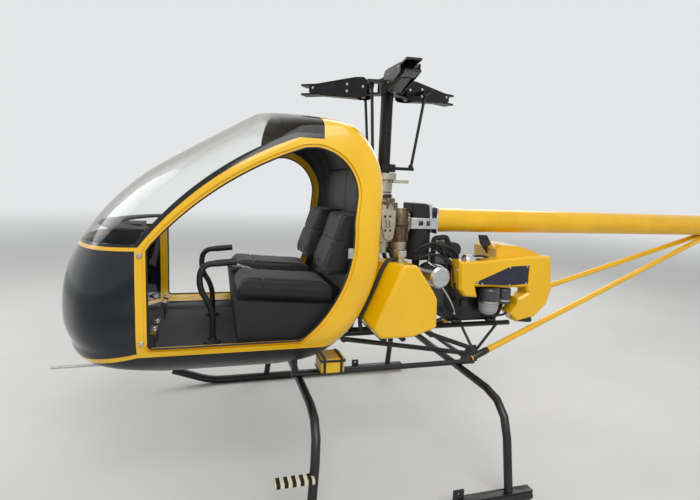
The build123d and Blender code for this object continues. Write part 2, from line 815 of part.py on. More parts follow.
# Belt drive: pulley drum under the carrier and the round-shouldered cover above it
drum_x = -272
drum_foot_z = 1216
drum_radius = carrier_half_width - 8
with BuildPart() as belt_drive:
    add(drum(drum_radius, drum_foot_z, carrier_bottom_z - fit_gap, drum_x))
    add(drum(26, drum_foot_z - 60, drum_foot_z, drum_x))
    with BuildSketch(Plane.XZ):
        with BuildLine():
            Line((carrier_front_x - 12, carrier_top_z + fit_gap), (-345, carrier_top_z + fit_gap))
            ThreePointArc((-345, carrier_top_z + fit_gap), (-332, 1565), (-285, 1602))
            Line((-285, 1602), (carrier_front_x - 12, 1602))
            Line((carrier_front_x - 12, 1602), (carrier_front_x - 12, carrier_top_z + fit_gap))
        make_face()
    extrude(amount=carrier_half_width - 5, both=True)
write(belt_drive, "belt_drive")

# Rotor: mast, hub plates, hinged grips with blade forks, pitch horns and rods, swashplate
with BuildPart() as mast:
    with Locations((0, 0, mast_foot_z)):
        Cylinder(mast_radius, hub_z + 60 - mast_foot_z, align=(Align.CENTER, Align.CENTER, Align.MIN))
write(mast, "mast")

hub_half_height = 46
hub_plate = 12
hinge_radius = 14
lug_half_height = hub_half_height - hub_plate - 1
with BuildPart() as rotor_head:
    add(drum(66, hub_z - hub_half_height, hub_z + hub_half_height))
    for level in (hub_z - hub_half_height, hub_z + hub_half_height - hub_plate):
        with BuildSketch(Plane.XY.offset(level)):
            with PolarLocations(0, grip_count, start_angle=grip_angle):
                with Locations((hinge_reach / 2, 0)):
                    Rectangle(hinge_reach, 76)
                with Locations((hinge_reach, 0)):
                    RegularPolygon(38, bar_sides, major_radius=False, rotation=15)
        extrude(amount=hub_plate)
    with BuildSketch(Plane.XY.offset(hub_z - hub_half_height)):
        with PolarLocations(hinge_reach, grip_count, start_angle=grip_angle):
            RegularPolygon(hinge_radius, bar_sides, major_radius=False)
    extrude(amount=2 * hub_half_height)
    add(drum(mast_radius + running_gap, hub_z - 100, hub_z + 100), mode=Mode.SUBTRACT)
write(rotor_head, "rotor_head")

# One grip along +X: hinge lug, tapered body, fork plates and pitch horn
lug_start = 112
grip_root_height = 132
grip_root_width = 104
grip_end_height = 2 * fork_half_height + 6
grip_end_width = 84
with BuildPart() as grip:
    with BuildSketch(Plane.XY.offset(hub_z - grip_root_height)):
        with BuildLine():
            Polyline((grip_start, -grip_root_width / 2), (grip_end, -grip_end_width / 2),
                     (grip_end, grip_end_width / 2), (grip_start, grip_root_width / 2), close=True)
        make_face()
    extrude(amount=2 * grip_root_height)
    with BuildSketch(Plane.XZ):
        with BuildLine():
            Polyline((grip_start, hub_z - grip_root_height / 2), (grip_end, hub_z - grip_end_height / 2),
                     (grip_end, hub_z + grip_end_height / 2), (grip_start, hub_z + grip_root_height / 2),
                     close=True)
        make_face()
    extrude(amount=grip_root_width, both=True, mode=Mode.INTERSECT)
    chamfer(grip.edges().sort_by(Edge.length)[-4:], 16)
    with Locations((lug_start, 0, hub_z)):
        Box(grip_start - lug_start, 62, 2 * lug_half_height, align=(Align.MIN, Align.CENTER, Align.CENTER))
    for level in (hub_z + fork_half_height - fork_plate / 2, hub_z - fork_half_height + fork_plate / 2):
        with Locations((grip_end - 5, 0, level)):
            Box(fork_end - grip_end + 5, grip_end_width, fork_plate,
                align=(Align.MIN, Align.CENTER, Align.CENTER))
    with Locations((grip_start + 15, -30, hub_z - 15)):
        Box(34, horn_reach, 20, align=(Align.CENTER, Align.MAX, Align.CENTER))
    with BuildSketch(Plane.XY.offset(hub_z - hub_half_height)):
        with Locations((hinge_reach, 0)):
            RegularPolygon(hinge_radius + 0.8, bar_sides, major_radius=False)
    extrude(amount=2 * hub_half_height, mode=Mode.SUBTRACT)
    with Locations((blade_bolt_reach, 0, hub_z)):
        Cylinder(blade_bolt_radius, 100, mode=Mode.SUBTRACT)

with BuildPart() as blade_grips:
    with PolarLocations(0, grip_count, start_angle=grip_angle):
        add(grip.part)
write(blade_grips, "blade_grips")

arm_z = swashplate_z + 25
with BuildPart() as swashplate_ring:
    add(drum(78, swashplate_z, swashplate_z + 50))
    with PolarLocations(0, grip_count, start_angle=grip_angle - rod_lag):
        with Locations((0, 0, arm_z)):
            Box(rod_foot_radius + 20, 30, 20, align=(Align.MIN, Align.CENTER, Align.CENTER))
    add(drum(mast_radius + fit_gap, swashplate_z, swashplate_z + 50), mode=Mode.SUBTRACT)
write(swashplate_ring, "swashplate_ring")

with BuildPart() as pitch_rods:
    for k in range(grip_count):
        turn = radians(grip_angle - rod_lag + k * 360 / grip_count)
        foot = (rod_foot_radius * cos(turn), rod_foot_radius * sin(turn), arm_z)
        head = (rod_head_radius * cos(turn), rod_head_radius * sin(turn), hub_z - 15)
        add(tube([foot, head], 9, sides=brace_sides))
    add(swashplate_ring.part, mode=Mode.SUBTRACT)
    add(blade_grips.part, mode=Mode.SUBTRACT)
write(pitch_rods, "pitch_rods")

plate_gap = 8
with BuildPart() as swashplate_base:
    add(drum(neck_radius + 4, neck_top_z, swashplate_z - 50))
    add(drum(86, swashplate_z - 50, swashplate_z - plate_gap))
    for y in (70, -70):
        with Locations((-95, y, swashplate_z - 60)):
            Box(110, 26, 20)
    add(drum(mast_radius + running_gap, neck_top_z, swashplate_z), mode=Mode.SUBTRACT)
write(swashplate_base, "swashplate_base")

# Tail boom and struts
with BuildPart() as tail_boom:
    with BuildSketch(Plane.YZ.offset(boom_front_x)):
        with Locations((0, boom_z)):
            Circle(boom_radius)
            Circle(boom_radius - boom_wall, mode=Mode.SUBTRACT)
    extrude(amount=boom_rear_x - boom_front_x)
write(tail_boom, "tail_boom")

with BuildPart() as boom_core:
    with BuildSketch(Plane.YZ.offset(boom_front_x)):
        with Locations((0, boom_z)):
            Circle(boom_radius)
    extrude(amount=boom_rear_x - boom_front_x)

for side, name in ((1, "left"), (-1, "right")):
    with BuildPart() as strut:
        add(tube([(frame_rear_x, side * longeron_y, longeron_z + 20),
                  (strut_joint_x, side * 30, boom_z - boom_radius)], strut_radius))
        add(main_frame.part, mode=Mode.SUBTRACT)
        add(boom_core.part, mode=Mode.SUBTRACT)
    write(strut, f"boom_strut_{name}")

# Tail gearbox, fins, guard, stabiliser and tail rotor
with BuildPart() as tail_gearbox:
    add(drum(tail_gearbox_radius, boom_z - boom_radius, boom_z + boom_radius, tail_rotor_x))
    with BuildSketch(Plane.XZ):
        with Locations((tail_rotor_x, boom_z)):
            RegularPolygon(30, bar_sides)
    extrude(amount=30 - tail_rotor_y)
    with BuildSketch(Plane.XZ):
        with Locations((tail_rotor_x, boom_z)):
            RegularPolygon(tail_shaft_radius + running_gap, bar_sides, major_radius=False)
    extrude(amount=-tail_rotor_y, mode=Mode.SUBTRACT)
write(tail_gearbox, "tail_gearbox")

upper_z = boom_z + boom_radius
lower_z = boom_z - boom_radius
fin_front_x = boom_rear_x + 170
tail_end_x = boom_rear_x - fin_overhang
with BuildPart() as tail_fins:
    with BuildSketch(Plane.XZ):
        with BuildLine():
            Polyline((fin_front_x, upper_z), (boom_rear_x - 200, upper_z), (tail_end_x, upper_z + 620),
                     (tail_end_x + 200, upper_z + 620), close=True)
        make_face()
        with BuildLine():
            Polyline((fin_front_x, lower_z), (boom_rear_x - 150, lower_z), (boom_rear_x - 270, lower_z - 370),
                     (boom_rear_x - 110, lower_z - 370), close=True)
        make_face()
    extrude(amount=fin_thickness / 2, both=True)
    chamfer(tail_fins.edges().group_by(Axis.X)[-1], 10)
write(tail_fins, "tail_fins")

guard_radius = 14
guard_low_z = boom_z - tail_rotor_radius - 90
with BuildPart() as tail_guard:
    guard = [(boom_rear_x + 560, 0, lower_z), (boom_rear_x + 60, 0, guard_low_z),
             (boom_rear_x - 320, 0, guard_low_z)]
    add(tube(guard, guard_radius, 130, brace_sides))
    add(boom_core.part, mode=Mode.SUBTRACT)
write(tail_guard, "tail_guard")

with BuildPart() as stabiliser:
    with Locations((stabiliser_x, 0, boom_z)):
        Box(260, 1300, 30)
    chamfer(stabiliser.edges().filter_by(Axis.Y), 9)
    add(boom_core.part, mode=Mode.SUBTRACT)
write(stabiliser, "stabiliser")

blade_chord = 110
with BuildPart() as tail_rotor:
    with BuildSketch(Plane.XZ.offset(-tail_rotor_y)):
        with Locations((tail_rotor_x, boom_z)):
            RegularPolygon(45, bar_sides)
    extrude(amount=30, both=True)
    with Locations(Location((tail_rotor_x, 60, boom_z), (-90, 0, 0))):
        Cylinder(tail_shaft_radius, tail_rotor_y - 60, align=(Align.CENTER, Align.CENTER, Align.MIN))
    with Locations((tail_rotor_x, tail_rotor_y, boom_z)):
        Box(60, 22, 400)
        Box(blade_chord, 12, 2 * tail_rotor_radius)
write(tail_rotor, "tail_rotor")
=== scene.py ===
import json
import math

import bmesh
import bpy
import numpy as np
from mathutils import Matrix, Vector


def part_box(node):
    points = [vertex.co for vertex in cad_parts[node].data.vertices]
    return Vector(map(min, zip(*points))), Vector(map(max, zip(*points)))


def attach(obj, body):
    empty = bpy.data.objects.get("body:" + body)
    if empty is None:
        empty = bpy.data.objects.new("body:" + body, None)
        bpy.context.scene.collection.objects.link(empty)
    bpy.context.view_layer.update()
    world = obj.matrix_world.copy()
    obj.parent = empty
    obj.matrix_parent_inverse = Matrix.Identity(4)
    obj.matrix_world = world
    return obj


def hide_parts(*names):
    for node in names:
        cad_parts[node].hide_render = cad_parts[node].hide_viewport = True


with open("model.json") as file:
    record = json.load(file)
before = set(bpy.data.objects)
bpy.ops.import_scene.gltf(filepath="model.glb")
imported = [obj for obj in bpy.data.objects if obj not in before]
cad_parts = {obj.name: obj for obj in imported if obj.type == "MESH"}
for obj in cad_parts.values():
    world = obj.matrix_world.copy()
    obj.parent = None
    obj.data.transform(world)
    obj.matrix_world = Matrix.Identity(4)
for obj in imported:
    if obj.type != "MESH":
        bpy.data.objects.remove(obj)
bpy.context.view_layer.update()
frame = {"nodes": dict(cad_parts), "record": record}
nodes = frame["nodes"]
record = frame["record"]
# Shapes are given in millimetres with X measured from the rotor mast. The frame is in metres.
MM = 0.001
mast_x = (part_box("mast")[0][0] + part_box("mast")[1][0]) / 2
body_of_node = {node: body for body, names in record["behaviour"]["bodies"].items() for node in names}
# How far each seat's middle is from the centre line
seat_middle_y = 290

# Camera: beside the left doorway, at head height, with a wide lens
camera_eye = (2.3803, 2.95, 1.706)
camera_turn_deg = (82.03, -2.367, 163.621)
camera_lens_mm = 23.95


# Materials

def linear(hex_colour):
    """An sRGB hex colour as linear red, green, blue and alpha."""
    channels = np.array([int(hex_colour[i:i + 2], 16) for i in (1, 3, 5)]) / 255
    light = np.where(channels <= 0.04045, channels / 12.92, ((channels + 0.055) / 1.055) ** 2.4)
    return (*light, 1.0)


def add_node(tree, kind, settings=None, links=None):
    """Adds one node. settings holds properties and input values, links what feeds each input, by name or number."""
    node = tree.nodes.new(kind)
    for key, value in (settings or {}).items():
        if isinstance(key, int) or key in node.inputs:
            node.inputs[key].default_value = value
        else:
            setattr(node, key, value)
    for key, source in (links or {}).items():
        tree.links.new(source, node.inputs[key])
    return node


def new_material(name, settings):
    """A material with one Principled shader, returned with its tree and its shader."""
    material = bpy.data.materials.new(name)
    material.use_nodes = True
    tree = material.node_tree
    shader = tree.nodes["Principled BSDF"]
    for key, value in settings.items():
        shader.inputs[key].default_value = value
    return material, tree, shader


def surface_noise(tree, shader, colours, colour_mm, bump_mm, bump_depth_mm, roughness):
    """Colour drift, fine relief and uneven gloss, each at its own real size."""
    place = add_node(tree, "ShaderNodeTexCoord").outputs["Object"]
    drift = add_node(tree, "ShaderNodeTexNoise", {"Scale": 1 / (colour_mm * MM), "Detail": 3.0}, {"Vector": place})
    ramp = add_node(tree, "ShaderNodeValToRGB", {}, {"Fac": drift.outputs["Fac"]})
    ramp.color_ramp.elements[0].position = 0.3
    ramp.color_ramp.elements[0].color = linear(colours[0])
    ramp.color_ramp.elements[1].position = 0.7
    ramp.color_ramp.elements[1].color = linear(colours[1])
    tree.links.new(ramp.outputs["Color"], shader.inputs["Base Color"])
    grain = add_node(tree, "ShaderNodeTexNoise", {"Scale": 1 / (bump_mm * MM), "Detail": 2.0}, {"Vector": place})
    relief = add_node(tree, "ShaderNodeBump", {"Distance": bump_depth_mm * MM, "Strength": 1.0},
                      {"Height": grain.outputs["Fac"]})
    tree.links.new(relief.outputs["Normal"], shader.inputs["Normal"])
    gloss = add_node(tree, "ShaderNodeMapRange", {"To Min": roughness[0], "To Max": roughness[1]},
                     {"Value": drift.outputs["Fac"]})
    tree.links.new(gloss.outputs["Result"], shader.inputs["Roughness"])


def surfaced(name, settings, *surface):
    """A material with one Principled shader and the surface that surface_noise gives it."""
    material, tree, shader = new_material(name, settings)
    surface_noise(tree, shader, *surface)
    return material


# Yellow gelcoat: moulded glass fibre, waxed, with a faint orange peel under a clear gloss
yellow_gelcoat = surfaced("yellow_gelcoat", {"IOR": 1.5, "Coat Weight": 0.4, "Coat Roughness": 0.05},
                          ("#E3AE04", "#EDBA08"), 400, 6, 0.02, (0.2, 0.28))

# Yellow enamel on metal: the same colour, a little flatter
yellow_enamel = surfaced("yellow_enamel", {"IOR": 1.5, "Coat Weight": 0.2, "Coat Roughness": 0.1},
                         ("#DFAA04", "#EAB709"), 150, 3, 0.02, (0.28, 0.4))

# Clear acrylic: cast and blown, water clear, and brown grey only where the sheet is seen nearly edge on
clear_acrylic, tree, shader = new_material(
    "clear_acrylic", {"Transmission Weight": 1.0, "Roughness": 0.0, "IOR": 1.12})
edge_on = add_node(tree, "ShaderNodeLayerWeight", {"Blend": 0.5})
edge_tone = add_node(tree, "ShaderNodeValToRGB", {}, {"Fac": edge_on.outputs["Facing"]})
edge_tone.color_ramp.elements[0].position = 0.62
edge_tone.color_ramp.elements[0].color = linear("#FDFEFD")
edge_tone.color_ramp.elements[1].position = 0.93
edge_tone.color_ramp.elements[1].color = linear("#9C917E")
tree.links.new(edge_tone.outputs["Color"], shader.inputs["Base Color"])

# Smoked acrylic: dark grey, blown, mirror smooth
smoked_acrylic, tree, shader = new_material(
    "smoked_acrylic", {"Base Color": linear("#141723"), "Transmission Weight": 0.3, "Roughness": 0.01, "IOR": 1.5})

# Tinted film on the rear corner of the windscreen: brown black, still see-through
tinted_film, tree, shader = new_material(
    "tinted_film", {"Base Color": linear("#4A443C"), "Transmission Weight": 0.85, "Roughness": 0.05, "IOR": 1.3})

# Black glaze paint along the edge of the windscreen: glossy as the acrylic over it
edge_paint = surfaced("edge_paint", {"IOR": 1.49}, ("#0B0B0C", "#111112"), 200, 4, 0.01, (0.1, 0.16))

# Black powder coat on steel tube: satin, with the slight texture of baked powder
black_powder_coat = surfaced("black_powder_coat", {"IOR": 1.5}, ("#0E0E0F", "#19191B"), 60, 1.2, 0.05, (0.28, 0.42))

# Black anodised aluminium of the rotor head: tight grain, even satin
black_anodised = surfaced("black_anodised", {"Metallic": 0.6, "Specular IOR Level": 0.5},
                          ("#141416", "#222225"), 40, 0.8, 0.03, (0.3, 0.42))

# Black moulded plastic of the cabin
black_moulding = surfaced("black_moulding", {"IOR": 1.46}, ("#0C0C0D", "#141416"), 80, 2, 0.15, (0.5, 0.68))

# Black cut-pile carpet of the cabin floor: rough, no gloss
black_carpet = surfaced("black_carpet", {"IOR": 1.4, "Sheen Weight": 0.2},
                        ("#080809", "#111113"), 25, 3, 1.2, (0.85, 0.95))

# Black leatherette: embossed grain over foam
black_leatherette = surfaced("black_leatherette", {"IOR": 1.48}, ("#0E0E0F", "#171719"), 90, 1.6, 0.25, (0.45, 0.58))

# Black cloth of the seat covers: tight woven polyester with a faint sheen; the 0.4 mm weave is drawn at 1.5 mm to show
black_cloth = surfaced("black_cloth", {"IOR": 1.45, "Sheen Weight": 0.12, "Sheen Roughness": 0.5},
                       ("#0A0A0B", "#121214"), 70, 1.5, 0.3, (0.68, 0.8))

# Black foam rubber and hose: dull, slightly dusty
black_rubber = surfaced("black_rubber", {"IOR": 1.5}, ("#121212", "#1E1E1E"), 50, 1, 0.08, (0.5, 0.7))

# Cast aluminium: sand cast and fine grained, dull and slightly warm
cast_aluminium = surfaced("cast_aluminium", {"Metallic": 1.0}, ("#A39C8C", "#BDB6A6"), 60, 2, 0.2, (0.38, 0.52))

# Machined aluminium: bright and finely turned
machined_aluminium = surfaced("machined_aluminium", {"Metallic": 1.0}, ("#C3C4C4", "#DADBDB"), 30, 1, 0.02, (0.18, 0.3))

# Grey enamel on the cylinder covers: baked, low gloss, its pale grey a painted reflection
pale_grey_painted_reflection = surfaced("pale_grey_painted_reflection", {"IOR": 1.5}, ("#8F9294", "#A2A5A6"), 60, 1.5, 0.05, (0.35, 0.5))

# Zinc-plated steel of bolts and clips
zinc_steel = surfaced("zinc_steel", {"Metallic": 1.0}, ("#B5B3AC", "#CFCDC6"), 10, 1, 0.02, (0.25, 0.38))

# Navy panel let into the shroud: satin paint on sheet
navy_enamel = surfaced("navy_enamel", {"IOR": 1.5}, ("#15182B", "#1E2238"), 80, 2, 0.03, (0.3, 0.42))

# Brown casting of the gearbox cover: chromate-dipped magnesium, brown and mottled, and darkened all over as painted
# shade of the engine bay
brown_casting_painted_shade = surfaced("brown_casting_painted_shade", {"Metallic": 0.85}, ("#4E4236", "#7C6A55"), 25, 2, 0.3, (0.4, 0.6))

# Dark grey enamel on the carburettor domes: glossy and smooth
dome_enamel = surfaced("dome_enamel", {"IOR": 1.5, "Coat Weight": 0.3, "Coat Roughness": 0.08},
                       ("#2A2D36", "#3A3E48"), 60, 2, 0.02, (0.2, 0.3))

# Grip tape on the step: pale bars on black, one bar and one gap to each pitch
tape_pitch_mm = 38
pale_share = 0.48
grip_tape, tree, shader = new_material("grip_tape", {"IOR": 1.46})
surface_noise(tree, shader, ("#C9C2A4", "#DDD8C0"), 30, 1, 0.15, (0.6, 0.8))
pale_colour = shader.inputs["Base Color"].links[0].from_socket
along = add_node(tree, "ShaderNodeSeparateXYZ", {}, {
    "Vector": add_node(tree, "ShaderNodeTexCoord").outputs["Object"]})
bars = add_node(tree, "ShaderNodeMath", {"operation": "MULTIPLY", 1: 1 / (tape_pitch_mm * MM)},
                {0: along.outputs["X"]})
cycle = add_node(tree, "ShaderNodeMath", {"operation": "FRACT"}, {0: bars.outputs["Value"]})
dark_bar = add_node(tree, "ShaderNodeMath", {"operation": "GREATER_THAN", 1: pale_share},
                    {0: cycle.outputs["Value"]})
bar_mix = add_node(tree, "ShaderNodeMix", {"data_type": "RGBA", 7: linear("#151413")},
                   {0: dark_bar.outputs["Value"], 6: pale_colour})
tree.links.new(bar_mix.outputs[2], shader.inputs["Base Color"])

# White painted composite of the tail rotor
white_composite = surfaced("white_composite", {"IOR": 1.5}, ("#D9DAD8", "#E4E5E3"), 200, 4, 0.02, (0.25, 0.35))


# Shapes

def place(points_mm):
    """Points in millimetres, with X measured from the rotor mast, as metres in the frame."""
    return (np.asarray(points_mm, float) + (mast_x / MM, 0, 0)) * MM


def box_from_mast(node):
    """The low and the high corner of a CAD node, in millimetres from the mast."""
    return [np.array(corner) / MM - (mast_x / MM, 0, 0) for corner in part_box(node)]


def linked(name, data):
    """A new object in the scene."""
    item = bpy.data.objects.new(name, data)
    bpy.context.scene.collection.objects.link(item)
    return item


def evaluated(item):
    """An object's mesh with its modifiers applied. The object itself goes."""
    bpy.context.view_layer.update()
    mesh = bpy.data.meshes.new_from_object(item.evaluated_get(bpy.context.evaluated_depsgraph_get()))
    bpy.data.objects.remove(item)
    return mesh


def vertex_values(mesh, kind="co"):
    """The places or the normals of a mesh's vertices, a row each."""
    values = np.empty(len(mesh.vertices) * 3)
    mesh.vertices.foreach_get(kind, values)
    return values.reshape(-1, 3)


def put_piece(name, mesh, material, body, sharp_deg=35):
    """Gives a finished mesh its material, smooth faces with sharp edges past an angle, and the body it rides on."""
    mesh.materials.clear()
    mesh.materials.append(material)
    mesh.polygons.foreach_set("use_smooth", np.ones(len(mesh.polygons), bool))
    mesh.set_sharp_from_angle(angle=math.radians(sharp_deg))
    piece = linked(name, mesh)
    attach(piece, body)
    return piece


def make_mesh(name, points, faces):
    """A mesh with doubled points merged and its faces turned outwards."""
    mesh = bpy.data.meshes.new(name)
    mesh.from_pydata(np.asarray(points).tolist(), [], [list(face) for face in faces])
    work = bmesh.new()
    work.from_mesh(mesh)
    bmesh.ops.remove_doubles(work, verts=work.verts, dist=1e-6)
    bmesh.ops.recalc_face_normals(work, faces=work.faces)
    work.to_mesh(mesh)
    work.free()
    return mesh


def grid_faces(rows, columns, wrap_columns=False, first=0):
    """Four-sided faces between neighbouring points of a grid kept row after row."""
    i, j = np.meshgrid(np.arange(rows - 1), np.arange(columns - (not wrap_columns)), indexing="ij")
    j2 = (j + 1) % columns
    quads = np.stack([i * columns + j, i * columns + j2, (i + 1) * columns + j2, (i + 1) * columns + j], axis=-1)
    return (quads.reshape(-1, 4) + first).tolist()


def axis_frame(axis):
    """Three unit vectors: two across the axis and the axis itself."""
    along = np.asarray(axis, float) / np.linalg.norm(axis)
    helper = np.array([0, 0, 1.0]) if abs(along[2]) < 0.9 else np.array([1.0, 0, 0])
    side = np.cross(helper, along)
    side /= np.linalg.norm(side)
    return side, np.cross(along, side), along


def turned(profile, centre, axis=(0, 0, 1), segments=40):
    """Points and faces of a turned piece: radius times cosine and sine across the axis, height along it."""
    side, up, along = axis_frame(axis)
    angle = np.linspace(0, 2 * np.pi, segments, endpoint=False)
    radius, height = np.array(profile, float).T
    ring = np.cos(angle)[:, None] * side + np.sin(angle)[:, None] * up
    points = np.asarray(centre, float) + radius[:, None, None] * ring + height[:, None, None] * along
    return points.reshape(-1, 3), grid_faces(len(profile), segments, wrap_columns=True)


def tube_along(route, radius, segments):
    """Points and faces of a tube: a circle carried square to a route, with flat ends."""
    route = np.asarray(route, float)
    tangent = np.gradient(route, axis=0)
    tangent /= np.linalg.norm(tangent, axis=1)[:, None]
    normal = np.linalg.svd(route - route.mean(axis=0))[2][2]
    side = np.cross(tangent, normal)
    side /= np.linalg.norm(side, axis=1)[:, None]
    up = np.cross(side, tangent)
    angle = np.linspace(0, 2 * np.pi, segments, endpoint=False)
    ring = np.cos(angle)[None, :, None] * side[:, None] + np.sin(angle)[None, :, None] * up[:, None]
    widths = np.broadcast_to(radius, len(route))
    points = route[:, None] + widths[:, None, None] * ring
    ends = [np.repeat(route[k, None, None], segments, 1) for k in (0, -1)]
    points = np.concatenate([ends[0], points, ends[1]])
    return points.reshape(-1, 3), grid_faces(len(route) + 2, segments, wrap_columns=True)


def smooth_route(corners, reach, steps=8):
    """A route whose corners are rounded: within the reach, a curve that blends the two runs by squares."""
    corners = np.asarray(corners, float)
    share = np.linspace(0, 1, steps)[:, None]
    pieces = [corners[:1]]
    for before, corner, after in zip(corners, corners[1:], corners[2:]):
        back = (before - corner) / np.linalg.norm(before - corner)
        on = (after - corner) / np.linalg.norm(after - corner)
        room = min(reach, 0.48 * np.linalg.norm(before - corner), 0.48 * np.linalg.norm(after - corner))
        pieces.append(corner + back * room * (1 - share) ** 2 + on * room * share ** 2)
    pieces.append(corners[-1:])
    return np.concatenate(pieces)


def join_shapes(shapes):
    """Several lists of points and faces as one."""
    points = np.concatenate([shape[0] for shape in shapes])
    starts = np.cumsum([0] + [len(shape[0]) for shape in shapes[:-1]])
    faces = [[index + int(start) for index in face] for shape, start in zip(shapes, starts) for face in shape[1]]
    return points, faces


def add_shapes(name, shapes, material, body, sharp_deg=35):
    """One piece of several lists of points and faces, in millimetres from the mast."""
    points, faces = join_shapes(shapes)
    return put_piece(name, make_mesh(name, place(points), faces), material, body, sharp_deg)


def prism(near, far):
    """The closed body between two outlines of as many points."""
    count = len(near)
    faces = [[k, (k + 1) % count, (k + 1) % count + count, k + count] for k in range(count)]
    return np.concatenate([near, far]), faces + [list(range(count))[::-1], list(range(count, 2 * count))]


def plate(outline, low_y, high_y):
    """A flat plate: a side view outline between two stations across."""
    outline = np.asarray(outline, float)
    return prism(np.insert(outline, 1, high_y, axis=1), np.insert(outline, 1, low_y, axis=1))


def box_shape(low, high):
    """The eight corners and six sides of an upright block."""
    corners = np.array(np.meshgrid(*zip(low, high), indexing="ij")).reshape(3, -1).T
    return corners, [[0, 1, 3, 2], [4, 6, 7, 5], [0, 4, 5, 1], [2, 3, 7, 6], [0, 2, 6, 4], [1, 5, 7, 3]]


def out_and_across(turn):
    """Level unit vectors at a turn about the mast: outwards, and square to that."""
    out = np.array([math.cos(turn), math.sin(turn), 0])
    return out, np.array([-out[1], out[0], 0])


def ring_points(count, radius, centre, first_deg=0):
    """Points evenly spaced round an upright axis."""
    turn = np.radians(first_deg + 360 / count * np.arange(count))
    return np.array(centre) + np.stack([radius * np.cos(turn), radius * np.sin(turn), 0 * turn], axis=1)


def radial_rib(centre, turn, reaches, halves, heights):
    """An upright rib on a round case: its two reaches, its half width at each and its two heights."""
    out, across = out_and_across(turn)
    foot = np.array([out * reaches[0] + across * halves[0], out * reaches[1] + across * halves[1],
                     out * reaches[1] - across * halves[1], out * reaches[0] - across * halves[0]]) + (*centre, 0)
    return prism(foot + (0, 0, heights[0]), foot + (0, 0, heights[1]))


def bolt(centre, axis, across=13, height=8):
    """A hexagon head with a washer under it."""
    washer = turned([(0, 0), (across * 0.8, 0), (across * 0.8, 1.5), (0, 1.5)], centre, axis, 20)
    head = turned([(0, 1.5), (across * 0.577, 1.5), (across * 0.577, height * 0.85), (across * 0.5, height),
                   (0, height)], centre, axis, 6)
    return join_shapes([washer, head])


def soften(piece, edge_mm, segments=2, sharp_deg=32):
    """Rounds the sharp edges of a piece."""
    bevel = piece.modifiers.new("soft_edges", "BEVEL")
    bevel.width = edge_mm * MM
    bevel.segments = segments
    bevel.limit_method = "ANGLE"
    bevel.angle_limit = math.radians(sharp_deg)


def merged_copy(node, flat_deg=0):
    """A copy of a CAD node's mesh with doubled points merged and, within an angle, faces joined."""
    mesh = nodes[node].data.copy()
    work = bmesh.new()
    work.from_mesh(mesh)
    bmesh.ops.remove_doubles(work, verts=work.verts, dist=2e-6)
    if flat_deg:
        bmesh.ops.dissolve_limit(work, angle_limit=math.radians(flat_deg), verts=work.verts, edges=work.edges)
    work.to_mesh(mesh)
    work.free()
    return mesh


def finish_node(node, material, edge_mm, sharp_deg):
    """Stands for a CAD node: the same shape with smooth round faces and softened edges."""
    piece = put_piece(node + "_finish", merged_copy(node, 0.3), material, body_of_node[node],
                      sharp_deg)
    if edge_mm:
        soften(piece, edge_mm, 2 if edge_mm < 10 else 4, sharp_deg)
    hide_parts(node)


# Cabin body: one smooth closed surface, from which the glass, the belly and the door openings are cut

# height, nose station, half width and cheek arc as a share of the half width, in millimetres
cabin_levels = np.array([
    (680, 1600, 400, 0.6),
    (740, 1790, 510, 0.6),
    (850, 1862, 582, 0.6),
    (1080, 1884, 600, 0.6),
    (1300, 1820, 600, 0.6),
    (1450, 1728, 600, 0.62),
    (1600, 1600, 599, 0.65),
    (1750, 1425, 598, 0.68),
    (1880, 1215, 596, 0.7),
    (2105, 835, 565, 0.7),
])
cabin_bottom = 680
cabin_top = 2105
wall_x = 185
wall_top_z = 1620
wall_foot_z = 1330
pillar_x = 1397
pillar_width = 48
sill_z = 865
sill_depth = 42
belt_z = 1362
belt_depth = 16
rail_width = 46
rail_top = (640, 1885)
rail_bulge = 45
hoop_x = 350
hoop_knee_z = 1500
roof_seam_x = 545
chin_bottom = 745
nose_turn = math.radians(35)
corner_radius = 120
moulding_wall = 26
glass_wall = 6
belly_wall = 30
lining_gap = 0.3
lining_back = 30
# Stations past the cabin, for cutting bodies that reach clear of it
ahead_x = 2200
above_z = 2300


def smooth_through(z, heights, values):
    """A curve through a table: between two rows, a cubic whose end slopes are the mean of the slopes beside them."""
    slopes = np.gradient(values, heights)
    k = np.clip(np.searchsorted(heights, z) - 1, 0, len(heights) - 2)
    span = heights[k + 1] - heights[k]
    t = (z - heights[k]) / span
    return ((2 * t**3 - 3 * t**2 + 1) * values[k] + (t**3 - 2 * t**2 + t) * span * slopes[k]
            + (3 * t**2 - 2 * t**3) * values[k + 1] + (t**3 - t**2) * span * slopes[k + 1])


def circle_through(a, b, c):
    """Centre and radius of the circle through three points, from the two chords' bisectors."""
    a, b, c = (np.asarray(p, float) for p in (a, b, c))
    lines = 2 * np.array([b - a, c - a])
    centre = np.linalg.solve(lines, [b @ b - a @ a, c @ c - a @ a])
    return centre, np.linalg.norm(a - centre)


roof_arc = circle_through((620, 2110), (298, 1964), (wall_x, wall_top_z))
foot_arc = circle_through((wall_x, wall_foot_z), (289, 985), (620, 680))


def back_station(z, inset):
    """How far back the cabin reaches at a height: the roof arc, an upright wall and the foot arc."""
    upper = roof_arc[0][0] - np.sqrt(np.maximum((roof_arc[1] - inset) ** 2 - (z - roof_arc[0][1]) ** 2, 0))
    lower = foot_arc[0][0] - np.sqrt(np.maximum((foot_arc[1] - inset) ** 2 - (z - foot_arc[0][1]) ** 2, 0))
    return np.where(z > wall_top_z, upper, np.where(z < wall_foot_z, lower, wall_x + inset))


